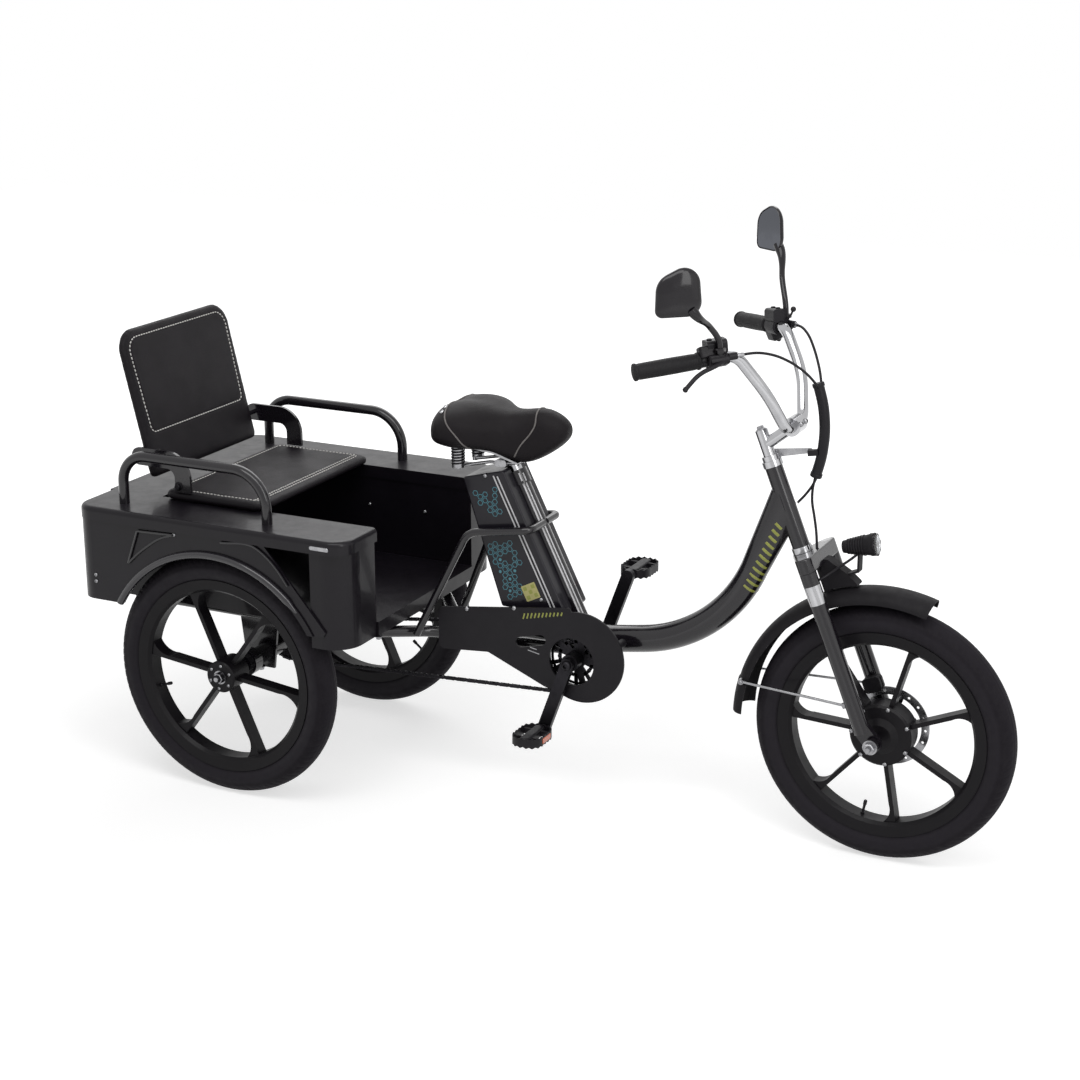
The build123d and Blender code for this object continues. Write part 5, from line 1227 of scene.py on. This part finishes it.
def printsAndTubeHighlights():
    # generic decoration: two patches of small open hexagons, a pale square and thin stripes, and two pale
    # lines on the seat tube that are painted highlights
    p = printShape
    tree = nodeTree("battery_case")
    ring = p["ring"]
    hexRing = hoop(ring - p["line"], ring, 0, p["thick"], 6)
    dot = rod(ring * 0.55, p["thick"], 6)
    draw = np.random.default_rng(4)
    rows, columns = np.meshgrid(np.arange(60), np.arange(60), indexing="ij")
    lattice = np.stack((columns * 0.75 * 1.155, rows + 0.5 * (columns % 2)), -1).reshape(-1, 2) * p["cell"]
    lattice += np.array([ahead(430), 0.41])
    rings, dots = [], []
    for patch in ("upper", "lower"):
        corners = np.array([(ahead(x), z / 1000) for x, z in p[patch]])
        edges = np.roll(corners, -1, 0) - corners
        reach = lattice[:, None] - corners
        turn = edges[:, 0] * reach[..., 1] - edges[:, 1] * reach[..., 0]
        inside = np.all(turn > 0, 1) | np.all(turn < 0, 1)
        cells = lattice[inside]
        cells = cells[draw.random(len(cells)) < p["kept"]]
        filled = draw.random(len(cells)) < p["filled"]
        for side in bothSides:
            for chosen, template, shapes in ((~filled, hexRing, rings), (filled, dot, dots)):
                starts = np.insert(cells[chosen], 1, side * 0.2, axis=1)
                places, normals = dropped(tree, starts, (0, -side, 0))
                if len(places):
                    shapes.append(scattered(template, places, (0, side, 0), (1, 0, 0)))
    makePiece("battery_hexagons", rings + dots, "frame", "decal_print")
    squares, borders = [], []
    tilt = math.radians(p["tilt"])
    xAxis, zAxis = [np.array([math.cos(turn), 0, math.sin(turn)]) for turn in (tilt, tilt + math.pi / 2)]
    size = p["squareSize"] / 2
    flat = slab(board(size, size, 0.001, 48), 0.0003, 0.0001)
    cell = slab(board(0.0036, 0.0036, 0.0005, 24), 0.0002, 0.0001)
    for side in bothSides:
        origin = np.array([ahead(p["square"][0]), side * p["squareOut"], p["square"][1] / 1000])
        squares.append(placed(flat, origin, (0, side, 0), xAxis))
        for i, j in ((-1, -1), (-1, 1), (0, 0), (1, -1), (1, 1)):
            spot = origin + (xAxis * i + zAxis * j) * p["cellGap"] + across * side * 0.00032
            borders.append(placed(cell, spot, (0, side, 0), xAxis))
    makePiece("battery_square", squares, "frame", "decal_print", extraFinishes["paleSquare"])
    makePiece("battery_square_cells", borders, "frame", "decal_print", extraFinishes["limePrint"])
    stripesAndTubeHighlights = []
    tube = nodeTree("seat_tube")
    for side in bothSides:
        for shift in p["stripeShifts"]:
            ends = beside([(521 + shift, 688), (655 + shift, 416)], 0)
            stripesAndTubeHighlights += stripOn(tree, *ends, (0, -side, 0), p["stripe"], 40)
        # painted highlights: two pale bands laid on the seat tube's front side
        for turn in np.radians(p["tubeHighlightTurns"]):
            outward = np.array([math.cos(turn), side * math.sin(turn), 0])
            low, high = np.array(beside([(676, 395), (531, 690)], 0)) + outward * 0.01
            stripesAndTubeHighlights += stripOn(tube, low, high, tuple(-outward), p["tubeHighlightWidth"], 40)
    makePiece("pale_stripes_and_tube_highlights", stripesAndTubeHighlights, "frame", "stripe_white")
    downTube, guard = nodeTree("down_tube"), nodeTree("chain_guard")
    bars = []
    for side in bothSides:
        ends = beside([(1050, 516), (1103, 652)], 0)
        bars += slantedBars(downTube, *ends, (0, -side, 0), 11, 0.03, 0.016, 0.006, 0.5)
    ends = beside([(583, 407), (668, 424)], 0)
    bars += slantedBars(guard, *ends, (0, 1, 0), 11, 0.013, 0.008, 0.0034, 0.5)
    makePiece("lime_bars", bars, "frame", "decal_print", extraFinishes["limePrint"])
    grille = []
    for i in range(3):
        ends = beside([(580 + i * 6, 353 - i * 9), (606 + i * 6, 348 - i * 9)], 0)
        grille += stripOn(guard, *ends, (0, 1, 0), 0.0022, 8, 0.0006)
    makePiece("guard_grille", grille, "frame", "bright_steel")


printsAndTubeHighlights()
print("printed decoration made")


boxTrim = {
    "ribs": [[(-178, 558), (-88, 561)], [(-88, 561), (-120, 550), (-150, 531), (-180, 508), (-206, 484)],
             [(-178, 558), (-206, 484)], [(27, 561), (111, 561), (128, 551), (161, 521), (184, 490)]],
    "rib": 0.0024, "ribOut": 0.3322, "lip": 0.0080, "lipRadius": 0.2685, "lipOut": 0.3318, "lipFrom": 41,
    "lipTo": 150, "latch": (262, 579.5), "latchOut": 0.3338}


def boxTrimPieces():
    # pressed ribs, the rolled arch lip and the latch plate on both sides
    b = boxTrim
    ribs, lips = [], []
    for side in bothSides:
        for rib in b["ribs"]:
            line = beside(rib, side * b["ribOut"])
            path = smoothLine(line, 30) if len(line) > 2 else np.linspace(line[0], line[1], 20)
            ribs.append(tubeAlong(path, b["rib"], 10, flat=(1, 0.75), guide=across))
        angle = np.radians(np.linspace(b["lipFrom"], b["lipTo"], 90))
        circle = np.stack((np.cos(angle), 0 * angle, np.sin(angle)), 1)
        path = circle * b["lipRadius"] + [rearAxleX, side * b["lipOut"], axleZ]
        radius = b["lip"] * np.minimum(1, 0.3 + np.linspace(0, 12, 90))
        lips.append(tubeAlong(path, radius, 14, guide=across))
    # painted highlight: the lip's paint is a lighter copy of the frame paint, under a full clear coat
    lipHighlightPaint = paintedMetal("lip_paint", tone(30, 27, 33), tone(44, 41, 47), 0.28, coat=1.0)
    makePiece("arch_lips", lips, "frame", "frame_paint", lipHighlightPaint)
    makePiece("box_pressings", ribs, "frame", "panel_paint", finishes["frame_paint"])
    plate = slab(strap(0.018, 0.0042), 0.0016, 0.0006)
    latch = [placed(plate, beside([b["latch"]], side * b["latchOut"])[0], (0, side, 0), (1, 0, 0))
             for side in bothSides]
    makePiece("box_latches", latch, "frame", "bright_steel")


boxTrimPieces()


pedalShape = {"half": (0.0325, 0.0445), "corner": 0.026, "wall": 0.0034, "high": 0.0074, "tooth": 0.0032,
              "teeth": 20}


def pedalPieces():
    # pedals: an oval serrated cage round a barrel, two webs and the pin, with reflectors
    p = pedalShape
    halfX, halfY = p["half"]
    r = p["corner"]
    for name, side in (("pedal_left", 1), ("pedal_right", -1)):
        low, high = [np.array(corner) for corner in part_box(name)]
        outer = low[1] if side < 0 else high[1]
        centre = np.array([(low[0] + high[0]) / 2, outer - side * (halfY + 0.0005), (low[2] + high[2]) / 2])
        outline = board(halfX - r, halfY - r, r, 312)
        inner = outline - outlineNormals(outline) * p["wall"]
        share = np.arange(len(outline)) / len(outline)
        level = (p["high"] + p["tooth"] * np.abs((share * p["teeth"]) % 1 - 0.5) * 2)[:, None]
        shapes = [stacked([(inner, -level), (outline, -level), (outline, level), (inner, level)], True)]
        barrel = hullOutline([(0, y, 0.011) for y in (0.012 - halfY, halfY - 0.012)], 60)
        shapes.append(pillow(barrel, -0.009, 0.009, 0.004))
        for y in (-0.021, 0.021):
            web = hullOutline([(x, y, 0.0028) for x in (-0.029, 0.029)], 40)
            shapes.append(pillow(web, -0.0062, 0.0062, 0.0012))
        reach = abs((high[1] if side < 0 else low[1]) - centre[1])
        pin = rod(0.0048, reach - 0.0006, 20)
        shapes.append(placed(pin, (0, 0, 0), (0, -side, 0)))
        shapes = [(points + centre, quads) for points, quads in shapes]
        cage = makePiece(name + "_cage", shapes, name, slotOf[name])
        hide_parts(name)
        plate = slab(board(0.0165, 0.0042, 0.0015, 48), 0.003, 0.0008)
        reflectors = [placed(plate, centre + (way * (halfX - 0.0018), 0, 0), (way, 0, 0), (0, 1, 0))
                      for way in ((-1, 1) if side < 0 else (-1,))]
        makePiece(name + "_reflectors", reflectors, name, "amber_lens")


pedalPieces()


def chainringPiece():
    # the chainring's web: two hoops joined by ten arms, which leaves a pattern of openings
    centre = np.array([crankX, -0.0515, crankZ])
    rings = ((0.033, 0.040), (0.051, 0.056))
    shapes = [placed(hoop(inner, outer, 0, 0.0026), centre, across) for inner, outer in rings]
    arm = slab(hullOutline([(x, 0, 0.0042) for x in (0.022, 0.062)], 40), 0.0028, 0.0004)
    for angle in np.radians(18 + np.arange(10) * 36):
        shapes.append(placed(arm, centre, across, (math.cos(angle), 0, math.sin(angle))))
    makePiece("chainring_web", shapes, "crankset", slotOf["crankset"])


chainringPiece()


def coil(centre, axis, radius, wire, turns, height, sides=10):
    # a wire carried along a helix whose ends flatten into closed rings
    t = np.linspace(0, 1, int(turns * 20))
    angle = t * turns * tau
    xAxis = unit(np.cross(axis, (0.3, 0.9, 0.1)))
    yAxis = np.cross(axis, xAxis)
    ring = xAxis * np.cos(angle)[:, None] + yAxis * np.sin(angle)[:, None]
    path = np.array(centre) + ring * radius + np.array(axis) * (t * height)[:, None]
    return tubeAlong(path, wire, sides, guide=np.array(axis, float))


springShape = {"foot": (420, 0.044, 703), "coil": 0.0125, "wire": 0.0021, "turns": 6, "height": 0.036,
               "core": 0.0113, "nut": 0.0062, "nutPlace": (509, 0.021, 712)}


def springPieces():
    # saddle springs wound round their cores, and the nuts of the saddle's clamp
    p = springShape
    feet, nutPlaces = [[beside([(x, z)], side * y)[0] for side in bothSides]
                       for x, y, z in (p["foot"], p["nutPlace"])]
    shapes = [coil(foot, (0, 0, 1), p["coil"], p["wire"], p["turns"], p["height"]) for foot in feet]
    shapes += [placed(rod(p["core"], p["height"], 30), foot, (0, 0, 1)) for foot in feet]
    makePiece("saddle_springs", shapes, "frame", "dark_steel")
    nuts = [placed(sized(nutShape, p["nut"]), place, (0, side, 0))
            for place, side in zip(nutPlaces, bothSides)]
    makePiece("saddle_clamp_nuts", nuts, "frame", "bright_steel")


def sleevePieces():
    # dark slits round the fork's bright sleeves, eight to a side
    heights = {name: vertexArray(frame["nodes"][name]) @ steerUp for name in ("fork_legs", "fork_crown")}
    middle = vertexArray(frame["nodes"]["stanchions"])
    slits = []
    for side in bothSides:
        own = middle[middle[:, 1] * side > 0]
        axis = own.mean(0) - steerUp * (own.mean(0) @ steerUp)
        low, high = heights["fork_legs"].max() + 0.003, heights["fork_crown"].min() - 0.004
        for turn in np.radians(np.arange(8) * 45 + 20):
            out = steerFwd * math.cos(turn) + across * math.sin(turn)
            line = axis + out * 0.01095 + steerUp * np.linspace(low, high, 12)[:, None]
            slits.append(tubeAlong(line, 0.0017, 8, flat=(1.0, 0.35), guide=out))
    makePiece("sleeve_slits", slits, "steering", "black_plastic")


cableFittings = {
    "cuffs": [((ahead(1156), 0.030, 0.925), (-13, 0, 43)), ((ahead(1158.5), 0.030, 0.749), (11, 0, 40))],
    "tabFrom": (ahead(1080), 0.012, 0.788), "tabTo": (ahead(1148), 0.026, 0.797), "tabThick": 0.0014}


def cableFittingPieces():
    # a cuff at each end of the cables' sheath, and the tab from the stem that holds them
    c = cableFittings
    cuff = turned([(0, -0.004), (0.0112, -0.004), (0.0119, -0.003), (0.0119, 0.003), (0.0112, 0.004),
                   (0, 0.004)], 30)
    cuffs = [placed(cuff, place, way) for place, way in c["cuffs"]]
    makePiece("sheath_cuffs", cuffs, "steering", "black_plastic")
    tab = slab(hullOutline([(-0.036, 0, 0.0085), (0.034, 0, 0.005)], 60), c["tabThick"], 0.0004)
    start, end = np.array(c["tabFrom"]), np.array(c["tabTo"])
    along = unit(end - start)
    face = unit(np.cross(along, upward))
    makePiece("cable_tab", [placed(tab, (start + end) / 2, face, along)], "steering", "bright_steel")
    block = pillow(board(0.008, 0.004, 0.002, 40), 0, 0.011, 0.0015)
    joint = placed(block, end + along * 0.004 - upward * 0.003, face, along)
    makePiece("cable_joint", [joint], "steering", "black_plastic")


springPieces()
sleevePieces()
cableFittingPieces()
print("details made")


def stagePieces():
    half = studio["floorSize"] / 2
    mesh = bpy.data.meshes.new("studio_floor")
    mesh.from_pydata([(x * half, y * half, -0.0005) for x, y in ((-1, -1), (1, -1), (1, 1), (-1, 1))],
                     [], [(0, 1, 2, 3)])
    floor = bpy.data.objects.new("studio_floor", mesh)
    scene.collection.objects.link(floor)
    made = Nodes(bpy.data.materials.new("studio_floor"))
    where = made.node("ShaderNodeTexCoord", output="Object")
    reach = made.node("ShaderNodeVectorMath", {"operation": "LENGTH"}, {0: where}, "Value")
    near, far = studio["glowReach"]  # the glow rises to full away from the vehicle
    level = made.node("ShaderNodeMapRange", None, {0: reach, 1: near, 2: far, 3: studio["floorGlow"], 4: 1.0})
    matt = made.node("ShaderNodeBsdfDiffuse", values={"Color": (*[studio["floorTone"]] * 3, 1)})
    glow = made.node("ShaderNodeEmission", values={"Strength": made.seenRays() * level})
    both = made.node("ShaderNodeAddShader", values={0: matt, 1: glow})
    made.node("ShaderNodeOutputMaterial", values={0: both})
    mesh.materials.append(made.owner)

    scene.world = bpy.data.worlds.new("studio_sky")
    made = Nodes(scene.world)
    strength = made.seenRays().most(studio["skyFill"])  # white to those rays and a fill to the rest
    sky = made.node("ShaderNodeBackground", values={"Color": (1, 1, 1, 1), "Strength": strength})
    made.node("ShaderNodeOutputWorld", values={0: sky})


stagePieces()
for lampName, settings in lamps.items():
    softLamp(lampName, *settings)
scene.view_settings.view_transform = "Standard"
print("stage made")
